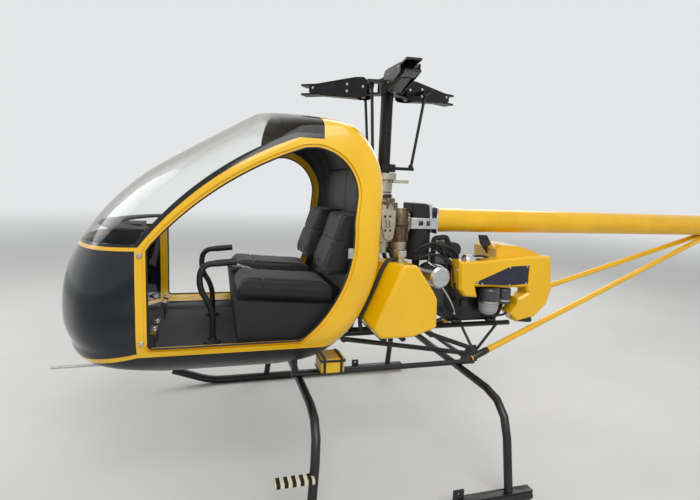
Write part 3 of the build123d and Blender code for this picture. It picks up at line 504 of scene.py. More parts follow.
def shoulder_width(z, inset):
    """Half width of the front view at a height: upright sides, a rounded shoulder and the crown of the roof."""
    crown_radius = 2003
    crown_z = cabin_top - crown_radius
    shoulder = 170
    shoulder_y = 470
    shoulder_z = crown_z + math.sqrt((crown_radius - shoulder) ** 2 - shoulder_y ** 2)
    meet_z = crown_z + crown_radius * (shoulder_z - crown_z) / (crown_radius - shoulder)
    side = shoulder_y + np.sqrt(np.maximum((shoulder - inset) ** 2 - (z - shoulder_z) ** 2, 0))
    crown = np.sqrt(np.maximum((crown_radius - inset) ** 2 - (z - crown_z) ** 2, 0))
    return np.where(z < shoulder_z, shoulder_y + shoulder - inset, np.where(z < meet_z - inset, side, crown))


def cabin_surface(inset):
    """The closed cabin body drawn in by an inset, in millimetres from the mast.

    At each height the plan is a nose arc, a cheek arc, a straight side, a corner arc and a flat back. Its nose and
    width follow the table of levels, its back the side view and its width also the front view.
    """
    levels = 110
    around = 70
    turn = np.linspace(0, np.pi, levels)
    z = cabin_bottom + inset + (cabin_top - cabin_bottom - 2 * inset) * (1 - np.cos(turn)) / 2
    middle = (cabin_top + cabin_bottom) / 2
    level = middle + (z - middle) * (cabin_top - middle) / (cabin_top - middle - inset)
    nose = smooth_through(level, cabin_levels[:, 0], cabin_levels[:, 1]) - inset
    half = smooth_through(level, cabin_levels[:, 0], cabin_levels[:, 2]) - inset
    share = smooth_through(level, cabin_levels[:, 0], cabin_levels[:, 3])
    half = np.maximum(np.minimum(half, shoulder_width(z, inset)), 0.01)
    back = np.minimum(back_station(z, inset), nose - 5)
    cheek = share * half
    cheek_y = half - cheek
    nose_radius = cheek + cheek_y / math.sin(nose_turn)
    cheek_x = nose - nose_radius + (nose_radius - cheek) * math.cos(nose_turn)
    corner = np.minimum(corner_radius, 0.6 * half)
    nose_angles = np.linspace(0, nose_turn, around // 4, endpoint=False)
    cheek_angles = np.linspace(nose_turn, np.pi / 2, around // 2, endpoint=False)
    corner_angles = np.linspace(np.pi / 2, np.pi, 10)
    side_share = np.linspace(0, 1, 24, endpoint=False)
    x = np.concatenate([
        (nose - nose_radius)[:, None] + nose_radius[:, None] * np.cos(nose_angles),
        cheek_x[:, None] + cheek[:, None] * np.cos(cheek_angles),
        cheek_x[:, None] + (back + corner - cheek_x)[:, None] * side_share,
        (back + corner)[:, None] + corner[:, None] * np.cos(corner_angles),
        back[:, None],
    ], axis=1)
    y = np.concatenate([
        nose_radius[:, None] * np.sin(nose_angles),
        cheek_y[:, None] + cheek[:, None] * np.sin(cheek_angles),
        half[:, None] + 0 * side_share,
        (half - corner)[:, None] + corner[:, None] * np.sin(corner_angles),
        0 * back[:, None],
    ], axis=1)
    x = np.maximum(x, back[:, None])
    ring_x = np.concatenate([x, x[:, -2:0:-1]], axis=1)
    ring_y = np.concatenate([y, -y[:, -2:0:-1]], axis=1)
    points = np.stack([ring_x, ring_y, np.broadcast_to(z[:, None], ring_x.shape)], axis=-1)
    count = ring_x.shape[1]
    faces = grid_faces(levels, count, wrap_columns=True)
    last = (levels - 1) * count
    faces.append(list(range(count))[::-1])
    faces.append(list(range(last, last + count)))
    return points.reshape(-1, 3), faces


def cabin_skin(name, inset):
    """The closed cabin body as a mesh."""
    points, faces = cabin_surface(inset)
    return make_mesh(name, place(points), faces)


def hollow_cabin(name, outer_inset, inner_inset):
    """The space between two insets of the cabin: one closed skin inside another, turned the other way."""
    outer = cabin_skin(name, outer_inset)
    inner = cabin_skin(name + "_inner", inner_inset)
    work = bmesh.new()
    work.from_mesh(inner)
    bmesh.ops.reverse_faces(work, faces=work.faces)
    work.from_mesh(outer)
    work.to_mesh(outer)
    work.free()
    return outer


def arc_line(a, b, c, count):
    """Points along the arc through three points, evenly turned."""
    centre, radius = circle_through(a, b, c)
    angles = np.unwrap([math.atan2(p[1] - centre[1], p[0] - centre[0]) for p in (a, b, c)])
    turn = np.linspace(angles[0], angles[2], count)
    return np.stack([centre[0] + radius * np.cos(turn), centre[1] + radius * np.sin(turn)], axis=1)


def side_prism(name, outline, half_width=900):
    """A side view outline carried across the whole cabin, as a cutting body."""
    points, faces = plate(outline, -half_width, half_width)
    return linked(name, make_mesh(name, place(points), faces))


def cut(mesh, inside, outside=()):
    """What is left of a mesh within the first cutting bodies and clear of the others, by exact Booleans."""
    blank = linked("blank", mesh)
    for operation, cutters in (("INTERSECT", inside), ("DIFFERENCE", outside)):
        for cutter in cutters:
            modifier = blank.modifiers.new(operation, "BOOLEAN")
            modifier.operation = operation
            modifier.object = cutter
            modifier.solver = "EXACT"
    return evaluated(blank)


rail_middle = ((pillar_x + rail_top[0]) / 2 + rail_bulge, (belt_z + rail_top[1]) / 2 + rail_bulge)
lift = rail_width * 0.72


def rail_line(out):
    """The windscreen's lower edge along the rail, moved outwards by a distance."""
    reach = lift + out * 0.72
    return arc_line((pillar_x + reach, belt_z + 10 + out * 0.5), (rail_middle[0] + reach, rail_middle[1] + reach),
                    (rail_top[0] + reach, rail_top[1] + rail_width + out), 40)


def windscreen_field(out=0):
    """Above the belt and the rail, ahead of the roof seam."""
    return np.concatenate([
        [(ahead_x, belt_z - 25 + out)], rail_line(out),
        [(roof_seam_x, rail_top[1] + rail_width + out), (roof_seam_x, above_z), (ahead_x, above_z)]])


door_line = np.concatenate([
    [(pillar_x, sill_z + 14), (pillar_x, belt_z - 6)],
    arc_line((pillar_x - 6, belt_z + 8), rail_middle, rail_top, 40)[1:],
    arc_line((rail_top[0] - 60, rail_top[1] + 5), (420, 1815), (hoop_x, 1640), 24),
    arc_line((hoop_x + 12, hoop_knee_z), (425, 1130), (640, sill_z), 30),
    [(pillar_x - 14, sill_z)],
])
chin_back = pillar_x + pillar_width
chin_line = [(chin_back, sill_z - 20), (chin_back, belt_z + 8 - belt_depth), (ahead_x, belt_z - 25 - belt_depth),
             (ahead_x, chin_bottom - 60)]
split_z = sill_z - sill_depth
belly_line = [(-200, split_z), (chin_back, split_z), (ahead_x, chin_bottom - 100), (ahead_x, 400), (-200, 400)]
rim_width = 24
tint_front_x = 755
tint_line = [(roof_seam_x, 1700), (tint_front_x, 1700), (tint_front_x, above_z), (roof_seam_x, above_z)]

windscreen_cutter = side_prism("windscreen_cutter", windscreen_field())
chin_cutter = side_prism("chin_cutter", chin_line)
belly_cutter = side_prism("belly_cutter", belly_line)
door_cutter = side_prism("door_cutter", door_line)
rim_cutter = side_prism("rim_cutter", windscreen_field(rim_width))
tint_cutter = side_prism("tint_cutter", tint_line)


def grown(outline, reach):
    """A closed outline moved outwards: each point goes along the mean of the normals of its two sides."""
    on = np.roll(outline, -1, axis=0) - outline
    on /= np.linalg.norm(on, axis=1)[:, None]
    across = np.stack([on[:, 1], -on[:, 0]], axis=1)
    across = across + np.roll(across, 1, axis=0)
    across /= np.linalg.norm(across, axis=1)[:, None]
    middle = outline.mean(axis=0)
    outward = np.sign(np.sum(across * (outline - middle)))
    return outline + across * outward * reach


# The jamb: a step let into the skin round each doorway, where a door would lie
jamb_width = 15
jamb_depth = 9
jamb_prism = side_prism("jamb_prism", grown(door_line, jamb_width))
jamb_cutter = linked("jamb_cutter", cut(hollow_cabin("jamb_body", -12, jamb_depth), [jamb_prism]))

# The lining covers the moulding's inside short of the doorway, above the sill and behind the pillar and roof seam
lining_reach = 42
lining_lap = 10
lining_prism = side_prism("lining_prism", grown(door_line, lining_reach))
lining_front = side_prism("lining_front", [
    (pillar_x - lining_lap, 300), (2400, 300), (2400, 2400), (roof_seam_x + lining_lap, 2400),
    (roof_seam_x + lining_lap, 1500), (pillar_x - lining_lap, 1300)])
lining_low = side_prism("lining_low", [(0, 300), (2400, 300), (2400, sill_z - 50), (0, sill_z - 50)])

cabin_pieces = [
    # name, outer and inner inset, bodies it lies within, bodies it is clear of, material, slot, node it stands for
    ("cabin_moulding", 0, moulding_wall, [],
     [windscreen_cutter, chin_cutter, belly_cutter, door_cutter, jamb_cutter],
     yellow_gelcoat, "paint_yellow", "cabin_shell"),
    ("windscreen_glass", 0, glass_wall, [rim_cutter], [tint_cutter], clear_acrylic, "clear_glazing", "windshield"),
    ("windscreen_rim", 0, glass_wall, [windscreen_cutter], [rim_cutter], edge_paint, "paint_black", "windshield"),
    ("windscreen_tint", 0, glass_wall, [rim_cutter, tint_cutter], [], tinted_film, "dark_glazing", "windshield"),
    ("chin_glass", 0, glass_wall, [chin_cutter], [], smoked_acrylic, "dark_glazing", "chin_window"),
    ("belly_moulding", 0, belly_wall, [belly_cutter], [], black_powder_coat, "paint_black", "belly_pan"),
    ("cabin_lining", moulding_wall + lining_gap, lining_back, [], [lining_front, lining_low, lining_prism],
     black_leatherette, "black_leather", None),
]
for name, outer, inner, inside, outside, material, slot, node in cabin_pieces:
    mesh = cut(hollow_cabin(name, outer, inner), inside, outside)
    piece = put_piece(name, mesh, material, "airframe", 40)
    if node:
        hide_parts(node)
for cutter in (windscreen_cutter, chin_cutter, belly_cutter, door_cutter, rim_cutter, tint_cutter,
               jamb_prism, jamb_cutter, lining_prism, lining_front, lining_low):
    bpy.data.objects.remove(cutter)


# Cabin fittings: latch plate on the rear hoop, hinge bosses on the pillar, rubber seal round each doorway

skin_y = 600
boss_profile = [(0, 0), (12, 0), (12, 9), (9, 12), (0, 12)]
boss_places = [(1421, 1338), (1421, 905)]
latch_low = (372, 1318)
latch_high = (400, 1372)
latch_wall = 10
fitting_shapes = []
for side in (1, -1):
    outside = side * skin_y
    for x, z in boss_places:
        fitting_shapes.append(turned(boss_profile, (x, outside, z), (0, side, 0)))
    low_y, high_y = sorted((outside, outside + side * latch_wall))
    fitting_shapes.append(box_shape((latch_low[0], low_y, latch_low[1]), (latch_high[0], high_y, latch_high[1])))
    fitting_shapes.append(turned([(0, 0), (9, 0), (9, 14), (0, 14)], (386, outside + side * 8, 1345), (0, side, 0)))
add_shapes("door_fittings", fitting_shapes, zinc_steel, "airframe")

seal_radius = 5
seal_y = 583
seal_line = np.concatenate([door_line, door_line[:1]])
inward = door_line.mean(axis=0) - seal_line
seal_line = seal_line + inward / np.linalg.norm(inward, axis=1)[:, None] * (seal_radius - 1)
seal_shapes = []
for side in (1, -1):
    seal_route = np.insert(smooth_route(seal_line, 12, 4), 1, side * seal_y, axis=1)
    seal_shapes.append(tube_along(seal_route, seal_radius, 8))
add_shapes("door_seals", seal_shapes, black_rubber, "airframe")


# Seats: foam cushions under embossed cover, swollen by simulation and then sewn

def swollen_mesh(node, trim_mm, voxel_mm=8, pressure=10, frames=20, cap_mm=18):
    """A cushion's mesh: the plain solid trimmed, remeshed fine, blown up as cloth with its travel capped."""
    mesh = merged_copy(node)
    points = vertex_values(mesh)
    low, high = points.min(axis=0), points.max(axis=0)
    middle = (low + high) / 2
    points = middle + (points - middle) * (1 - 2 * trim_mm * MM / (high - low))
    mesh.vertices.foreach_set("co", points.ravel())
    blank = linked("blank", mesh)
    remesh = blank.modifiers.new("remesh", "REMESH")
    remesh.mode = "VOXEL"
    remesh.voxel_size = voxel_mm * MM
    fine = evaluated(blank)
    start = vertex_values(fine)
    end = start
    pad = linked("pad", fine)
    cloth = pad.modifiers.new("cloth", "CLOTH")
    cloth.settings.use_pressure = True
    cloth.settings.uniform_pressure_force = pressure
    cloth.settings.effector_weights.gravity = 0
    for frame_number in range(1, frames + 1):
        bpy.context.scene.frame_set(frame_number)
    end = vertex_values(evaluated(pad))
    bpy.context.scene.frame_set(1)
    travel = end - start
    length = np.linalg.norm(travel, axis=1)[:, None]
    travel *= np.minimum(1, cap_mm * MM / np.maximum(length, 1e-9))
    fine.vertices.foreach_set("co", (start + travel).ravel())
    return fine


def subdivided(mesh):
    """The mesh after one smooth subdivision."""
    blank = linked("blank", mesh)
    step = blank.modifiers.new("subdivide", "SUBSURF")
    step.levels = step.render_levels = 1
    return evaluated(blank)


def sew(mesh, lines, depth_mm, width_mm=6):
    """Sinks seams: points near a line move in along their normal by a bell curve of their distance to it.

    A line is the axis it is square to, its station along that axis in metres and the way its face looks.
    """
    points = vertex_values(mesh)
    normals = vertex_values(mesh, "normal")
    sink = np.zeros(len(points))
    for axis, station, front in lines:
        facing = np.clip(normals @ front * 2, 0, 1)
        sink = np.maximum(sink, facing * np.exp(-((points @ axis - station) / (width_mm * MM)) ** 2))
    mesh.vertices.foreach_set("co", (points - normals * sink[:, None] * depth_mm * MM).ravel())


def moved_copy(mesh, shift):
    """The same mesh set over by a shift in metres."""
    copy = mesh.copy()
    copy.vertices.foreach_set("co", (vertex_values(copy) + shift).ravel())
    return copy


x_axis, y_axis, z_axis = np.eye(3)
seat_y = seat_middle_y * MM
cushion_front_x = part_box("seat_cushion_left")[1][0]
back_low, back_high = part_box("seat_back_left")
cushion_mesh = subdivided(swollen_mesh("seat_cushion_left", 11))
# Seams in metres: two along each pad beside its middle and one across it
cushion_seam = 0.15
cushion_cross_seam = 0.17
back_seam = 0.14
back_cross_share = 0.56
sew(cushion_mesh, [(y_axis, seat_y - cushion_seam, z_axis), (y_axis, seat_y + cushion_seam, z_axis),
                   (x_axis, cushion_front_x - cushion_cross_seam, z_axis)], 7)
back_mesh = subdivided(swollen_mesh("seat_back_left", 9))
sew(back_mesh, [(y_axis, seat_y - back_seam, x_axis), (y_axis, seat_y + back_seam, x_axis),
                (z_axis, back_low[2] + back_cross_share * (back_high[2] - back_low[2]), x_axis)], 8)
for name, mesh, node in (("cushion_cover", cushion_mesh, "seat_cushion"), ("back_cover", back_mesh, "seat_back")):
    for side, shift in (("left", 0), ("right", -2 * seat_y)):
        cover = put_piece(f"{name}_{side}", moved_copy(mesh, (0, shift, 0)), black_cloth, "airframe",
                          70)
        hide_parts(f"{node}_{side}")


# Plain parts: the floor keeps its CAD mesh under the carpet, and the others are finished copies
carpet_mesh = nodes["cabin_floor"].data
carpet_mesh.materials.clear()
carpet_mesh.materials.append(black_carpet)

# node, material, edge radius in millimetres, angle past which an edge is sharp
finishes = [
    ("rear_bulkhead", black_leatherette, 5, 32),
    ("seat_base", black_moulding, 6, 32),
    ("instrument_panel", black_moulding, 3, 32),
    ("collective_levers", machined_aluminium, 0, 50),
    ("pedals", machined_aluminium, 2, 32),
    ("pitot_tube", zinc_steel, 0, 50),
    ("front_cross_tube", black_powder_coat, 0, 50),
    ("rear_cross_tube", black_powder_coat, 0, 50),
    ("skid_left", black_powder_coat, 0, 40),
    ("skid_right", black_powder_coat, 0, 40),
    ("cabin_steps", grip_tape, 3, 32),
    ("main_frame", black_powder_coat, 0, 50),
    ("mast_frame", black_powder_coat, 0, 50),
    ("battery_box", yellow_enamel, 3, 32),
    ("fuel_tank_left", yellow_gelcoat, 16, 20),
    ("fuel_tank_right", yellow_gelcoat, 16, 20),
    ("tank_fittings", zinc_steel, 2, 32),
    ("engine_block", black_powder_coat, 4, 32),
    ("cooling_shroud", yellow_gelcoat, 16, 32),
    ("boom_carrier", machined_aluminium, 2, 32),
    ("boom_strut_left", yellow_enamel, 0, 50),
    ("boom_strut_right", yellow_enamel, 0, 50),
    ("tail_boom", yellow_enamel, 0, 50),
    ("tail_fins", yellow_gelcoat, 5, 20),
    ("stabiliser", yellow_gelcoat, 5, 20),
    ("tail_guard", black_powder_coat, 0, 50),
    ("tail_gearbox", cast_aluminium, 4, 32),
    ("tail_rotor", white_composite, 3, 32),
    ("mast", black_anodised, 1, 32),
    ("rotor_head", black_anodised, 2, 32),
    ("blade_grips", black_anodised, 4, 28),
    ("pitch_rods", black_powder_coat, 0, 50),
    ("swashplate_ring", black_anodised, 2, 32),
    ("air_intake", black_rubber, 2, 40),
    ("belt_drive", black_moulding, 6, 40),
    ("gearbox", cast_aluminium, 4, 32),
    ("swashplate_base", cast_aluminium, 3, 32),
    ("exhaust_canister", machined_aluminium, 2, 32),
]
for node, material, edge_mm, sharp_deg in finishes:
    finish_node(node, material, edge_mm, sharp_deg)


# Engine domes: two dark domes with clamp rings, the front one over a turned grey bowl whose pale grey is a painted
# reflection

def rounded_cap(radius, foot, head, edge):
    """A turned profile: straight wall, then a quarter arc of the edge radius, then a flat top."""
    turn = np.linspace(0, np.pi / 2, 7)
    arc = [(radius - edge + edge * math.cos(a), head - edge + edge * math.sin(a)) for a in turn]
    return [(0, foot), (radius - 3, foot), (radius, foot + 3), *arc, (0, head)]


# centre, radius, foot height, head height, edge radius and segments
domes = [((-735, 222.3, 0), 71, 946, 1050, 22, 56), ((-862, 202.3, 0), 51, 930, 1042, 18, 48)]
bowl = [(0, 862), (30, 862), (48, 870), (61, 886), (67, 908), (67, 930), (70, 933), (70, 946), (0, 946)]
dome_shapes = []
clamp_rings = []
for centre, radius, foot, head, edge, segments in domes:
    dome_shapes.append(turned(rounded_cap(radius, foot, head, edge), centre, segments=segments))
    ring = [(radius - 1, 950), (radius + 1.6, 950), (radius + 1.6, 961), (radius - 1, 961), (radius - 1, 950)]
    clamp_rings.append(turned(ring, centre, segments=48))
engine_domes = add_shapes("engine_domes", dome_shapes, dome_enamel, "airframe", 50)
# The bowl's pale grey stands in for a bright reflection: painted reflection
engine_bowl = add_shapes("engine_bowl", [turned(bowl, domes[0][0], segments=56)], pale_grey_painted_reflection, "airframe",
                         50)
add_shapes("dome_clamps", clamp_rings, zinc_steel, "airframe")
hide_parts("engine_cylinders")
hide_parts("engine_cylinders")

# Navy panel in the shroud's recess, with its screws
panel_outline = np.array([(-588, 1094), (-857, 1200), (-1006, 1206), (-1006, 1077), (-864, 1068), (-627, 1080)])
soften(add_shapes("shroud_panel", [plate(panel_outline, 266, 268)], navy_enamel, "airframe"), 1)
panel_screws = panel_outline + (panel_outline.mean(axis=0) - panel_outline) * 0.09
add_shapes("shroud_screws", [bolt((x, 268.4, z), (0, 1, 0), 9, 2.6) for x, z in panel_screws],
           zinc_steel, "airframe")

# Gearbox: bolts round the ring flange and the pinion housing and four at the back, ribs down the case
pinion = (-112, 52)
gear_shapes = [bolt(point, (0, 0, 1), 10, 9) for point in ring_points(12, 97, (0, 0, 1585), 15)]
gear_shapes += [bolt(point, (0, 0, 1), 8, 7) for point in ring_points(6, 44, (*pinion, 1500))]
gear_shapes += [bolt((-179.8, y, z), (1, 0, 0), 10, 6) for y in (-58, 58) for z in (1411, 1526)]
add_shapes("gearbox_bolts", gear_shapes, zinc_steel, "airframe")
rib_shapes = [radial_rib((0, 0), turn, (90, 103), (4, 3), (1352, 1548))
              for turn in np.radians((20, 65, 110, 200, 250, 300, 340))]
soften(add_shapes("gearbox_ribs", rib_shapes, cast_aluminium, "airframe"), 1.5)

# Rotor head: mast nut, hinge nuts and grip bolts
hub_z = 2340
blade_turns = np.radians(82 + 120 * np.arange(3))
head_shapes = [turned([(0, 0), (30, 0), (34, 3), (34, 14), (30, 18), (0, 18)], (0, 0, 2386), segments=12)]
for turn in blade_turns:
    out, across = out_and_across(turn)
    for sign in (1, -1):
        head_shapes.append(bolt(out * 165 + (0, 0, hub_z + sign * 46), (0, 0, sign), 24, 14))
        for reach in (312, 352):
            head_shapes.append(bolt(out * reach + across * sign * 22 + (0, 0, 2405 - (reach - 205) * 0.1),
                                    (0, 0, 1), 13, 7))
        for reach, rise in ((150, 0), (262, 20), (262, -24), (512, 6)):
            head_shapes.append(bolt(out * reach + across * sign * 57 + (0, 0, hub_z + rise), across * sign, 11, 6))
add_shapes("rotor_bolts", head_shapes, zinc_steel, "main_rotor")

# Grip side plates: long tapered cheeks from beside the hub to the blade's root, each a flat plate set on edge
cheek_outline = [(122, 2284), (122, 2382), (150, 2402), (205, 2404), (530, 2368), (542, 2358), (542, 2318),
                 (530, 2312), (205, 2276), (150, 2274)]
cheek_y = 51.5
cheek_wall = 5.5
cheek_shapes = []
for turn in blade_turns:
    out, across = out_and_across(turn)
    for sign in (1, -1):
        near = np.array([out * reach + across * sign * cheek_y + (0, 0, z) for reach, z in cheek_outline])
        cheek_shapes.append(prism(near, near + across * sign * cheek_wall))
soften(add_shapes("grip_cheeks", cheek_shapes, black_anodised, "main_rotor"), 1.5)

# Rod ends: a ball and its eye at the foot and head of each pitch rod
ball_profile = [(0, -16), (8, -15), (14, -9), (16, 0), (14, 9), (8, 15), (0, 16)]
rod_reach = math.hypot(144, 205)
rod_lag = math.atan2(144, 205)
rod_shapes = []
for turn in blade_turns:
    out = out_and_across(turn - rod_lag)[0]
    for reach, z in ((180, 1841), (rod_reach, 2300)):
        rod_shapes.append(turned(ball_profile, out * reach + (0, 0, z), segments=20))
add_shapes("rod_ends", rod_shapes, black_anodised, "main_rotor")


# Gearbox dress: cast cover with scallops, front plate, ribbed pinion housing and the collar round the mast

def scalloped(radius, depth, lobes, low, high, segments=96):
    """A turned disc whose radius falls and rises with the cosine of the turn, lobes times round."""
    turn = np.linspace(0, 2 * np.pi, segments, endpoint=False)
    wave = radius - depth * (1 - np.cos(lobes * turn)) / 2
    share = np.array([0, 1, 1, 0.9, 0])
    height = np.array([low, low, high - 4, high, high])
    points = np.stack([
        share[:, None] * wave * np.cos(turn),
        share[:, None] * wave * np.sin(turn),
        np.broadcast_to(height[:, None], (5, segments)),
    ], axis=-1)
    return points.reshape(-1, 3), grid_faces(5, segments, wrap_columns=True)


# The cover takes the brown casting, darkened as painted shade of the engine bay
cover_shapes = [scalloped(107, 7, 12, 1560, 1604),
                turned([(0, 1604), (86, 1604), (80, 1622), (66, 1634), (60, 1640), (0, 1640)], (0, 0, 0), segments=48)]
cover_shapes += [turned([(0, 1600), (15, 1600), (13, 1626), (10, 1630), (0, 1630)], point, segments=18)
                 for point in ring_points(8, 74, (0, 0, 0), 10)]
add_shapes("gearbox_cover", cover_shapes, brown_casting_painted_shade, "airframe")

front_plate = [(42, 1548), (-64, 1550), (-66, 1450), (-54, 1366), (-34, 1352), (-8, 1352), (12, 1366), (34, 1450)]
soften(add_shapes("gearbox_plate", [plate(front_plate, 60, 104)], cast_aluminium, "airframe"), 4)
plate_bolts = [(11, 1511), (-24, 1512), (6, 1419), (-29, 1420)]
add_shapes("gearbox_plate_bolts", [bolt((x, 104, z), (0, 1, 0), 10, 6) for x, z in plate_bolts],
           black_powder_coat, "airframe")
rib_route = [(-4, 1492), (-8, 1440), (-12, 1440), (-8, 1492)]
soften(add_shapes("gearbox_plate_ribs", [plate([(x + dx, z) for x, z in rib_route], 100, 112) for dx in (8, -14)],
                  cast_aluminium, "airframe"), 1.5)

# The pinion housing takes the same brown casting, darkened as painted shade
pinion_profile = [(0, 1250), (40, 1250), (44, 1262), (46, 1330), (57, 1345), (57, 1452), (64, 1456), (64, 1476),
                  (57, 1480), (57, 1512), (50, 1548), (42, 1566), (0, 1566)]
pinion_shapes = [turned(pinion_profile, (*pinion, 0), segments=44)]
pinion_shapes += [radial_rib(pinion, turn, (50, 63), (3.5, 2.5), (1350, 1452))
                  for turn in np.radians(np.arange(0, 360, 30))]
add_shapes("pinion_housing", pinion_shapes, brown_casting_painted_shade, "airframe")

collar_profile = [(24, 1672), (50, 1672), (53, 1680), (53, 1700), (46, 1706), (46, 1744), (52, 1750), (52, 1770),
                  (40, 1776), (24, 1776), (24, 1672)]
upper_band = [(40, 1664), (58, 1664), (60, 1667), (60, 1704), (58, 1707), (40, 1707), (40, 1664)]
lower_band = [(46, 1636), (64, 1636), (66, 1640), (66, 1650), (64, 1654), (46, 1654), (46, 1636)]
# The collar takes the same brown casting, darkened as painted shade
for name, profiles, material, slot in (("mast_collar", [collar_profile], brown_casting_painted_shade, "bare_alloy"),
                                       ("mast_bands", [upper_band, lower_band], black_powder_coat, "paint_black")):
    add_shapes(name, [turned(profile, (0, 0, 0), segments=44) for profile in profiles], material, "airframe")

# Belt guard: a bright edging strip on each side
strip_outline = [(-302, 1604), (-322, 1596), (-334, 1440), (-318, 1436)]
guard_strips = [plate(strip_outline, y - 3, y + 3) for y in (97, -97)]
soften(add_shapes("guard_strips", guard_strips, machined_aluminium, "airframe"), 1.2)

# Wiring and hoses of the engine bay: bundles between the firewall side and the engine, each a round bar on a curve
bend = 60
hose_routes = [
    # radius and corners
    (9, [(-215, 96, 1278), (-262, 118, 1322), (-330, 122, 1345), (-400, 112, 1322), (-440, 100, 1262),
         (-452, 96, 1200)]),
    (11, [(-232, 70, 1262), (-280, 96, 1298), (-352, 104, 1326), (-452, 104, 1316), (-530, 96, 1276),
          (-556, 90, 1215)]),
    (7, [(-318, 60, 1236), (-350, 86, 1282), (-420, 92, 1300), (-500, 92, 1278), (-540, 100, 1220),
         (-545, 110, 1180)]),
    (8, [(-246, 120, 1240), (-300, 140, 1268), (-380, 142, 1262), (-432, 150, 1220), (-470, 165, 1190)]),
    (6, [(-402, 150, 1300), (-420, 156, 1250), (-452, 170, 1212), (-472, 182, 1150), (-470, 190, 1085)]),
    (8, [(-540, 160, 1212), (-560, 176, 1250), (-630, 186, 1262), (-706, 176, 1258), (-760, 150, 1240)]),
    (6, [(-552, 196, 1205), (-580, 206, 1236), (-640, 210, 1244), (-700, 200, 1236), (-742, 170, 1226)]),
    (9, [(-470, 205, 1080), (-486, 214, 1010), (-500, 220, 960), (-520, 214, 905), (-545, 196, 868)]),
    (6, [(-430, 176, 1010), (-452, 196, 960), (-470, 206, 900), (-505, 196, 856), (-560, 186, 845)]),
    (8, [(-690, 214, 862), (-722, 224, 850), (-800, 226, 846), (-872, 222, 852), (-900, 205, 868)]),
]
pipe_routes = [
    (7, [(-390, 170, 1062), (-430, 190, 1000), (-470, 204, 930), (-492, 200, 862)]),
    (5, [(-452, 150, 1240), (-500, 176, 1196), (-520, 190, 1130), (-516, 196, 1080)]),
    (8, [(-300, 150, 1188), (-352, 170, 1200), (-402, 182, 1180), (-420, 186, 1130)]),
]
for name, routes, material, slot in (("engine_hoses", hose_routes, black_rubber, "cabin_plastic"),
                                     ("engine_pipes", pipe_routes, zinc_steel, "bare_alloy")):
    shapes = [tube_along(smooth_route(corners, bend), radius, 12) for radius, corners in routes]
    add_shapes(name, shapes, material, "airframe", 60)

# Rubber foot under the rear duct, bracket under the boom, small pump and the round clamp at the shroud's front
foot_outline = [(-930, 862), (-945, 808), (-1060, 796), (-1078, 806), (-1064, 852), (-1010, 866)]
soften(add_shapes("rubber_foot", [plate(foot_outline, 205, 262)], black_rubber, "airframe"), 8)
bracket_outline = [(-722, 1392), (-792, 1390), (-893, 1236), (-864, 1226), (-800, 1262), (-742, 1330)]
soften(add_shapes("boom_bracket", [plate(bracket_outline, 44, 56)], black_powder_coat, "airframe"), 3)
pump_profile = [(0, 0), (24, 0), (26, 3), (26, 40), (23, 44), (0, 44)]
add_shapes("side_pump", [turned(pump_profile, (-535, 205, 948), (0, 1, 0), 28)],
           black_powder_coat, "airframe")
clamp_profile = [(0, 0), (36, 0), (38, 3), (38, 66), (36, 69), (0, 69)]
add_shapes("shroud_clamp", [turned(clamp_profile, (-540, 188, 1236), (-1, 0, -0.12), 40)],
           machined_aluminium, "airframe")

# Tank hoses: one down the front of each tank
tank_route = [(40, 404, 1276), (96, 412, 1282), (128, 422, 1240), (172, 426, 1130), (214, 426, 1030),
              (262, 420, 922), (240, 400, 850)]
tank_hoses = [tube_along(smooth_route([(x, side * y, z) for x, y, z in tank_route], 50), 12, 14) for side in (1, -1)]
add_shapes("tank_hoses", tank_hoses, black_rubber, "airframe", 60)


# Upholstered panel over the bulkhead: a padded board in two halves with a sunk seam between them

def quilted_board(low, high, rows, columns, crown, seam_depth, seam_width, seams):
    """A closed board facing +X: its front swells by a product of two sine bells and sinks along each seam."""
    y = np.linspace(low[1], high[1], columns)
    z = np.linspace(low[2], high[2], rows)
    zz, yy = np.meshgrid(z, y, indexing="ij")
    share_y = (yy - low[1]) / (high[1] - low[1])
    share_z = (zz - low[2]) / (high[2] - low[2])
    bell = np.clip(np.sin(np.pi * share_y) * np.sin(np.pi * share_z), 0, 1) ** 0.35
    sink = np.zeros_like(yy)
    for seam_y in seams:
        sink = np.maximum(sink, np.exp(-((yy - seam_y) / seam_width) ** 2))
    front = low[0] + (high[0] - low[0]) * 0.4 + crown * bell - seam_depth * sink * bell
    back = np.full_like(yy, low[0])
    points = np.concatenate([np.stack([x, yy, zz], -1).reshape(-1, 3) for x in (front, back)])
    count = rows * columns
    faces = grid_faces(rows, columns)
    faces += [face[::-1] for face in grid_faces(rows, columns, first=count)]
    last = (rows - 1) * columns
    rim = list(range(columns)) + [i * columns + columns - 1 for i in range(1, rows)]
    rim += [last + j for j in range(columns - 2, -1, -1)] + [i * columns for i in range(rows - 2, 0, -1)]
    faces += [[a, b, b + count, a + count] for a, b in zip(rim, rim[1:] + rim[:1])]
    return points, faces


board_x, _, board_top = box_from_mast("rear_bulkhead")[1]
boards = []
for side in (1, -1):
    low_y, high_y = sorted((side * 4, side * 512))
    boards.append(quilted_board((board_x - 2, low_y, 1480), (board_x + 30, high_y, board_top - 4), rows=40, columns=60,
                                crown=12, seam_depth=9, seam_width=5, seams=[side * seat_middle_y]))
add_shapes("bulkhead_upholstery", boards, black_leatherette, "airframe", 60)

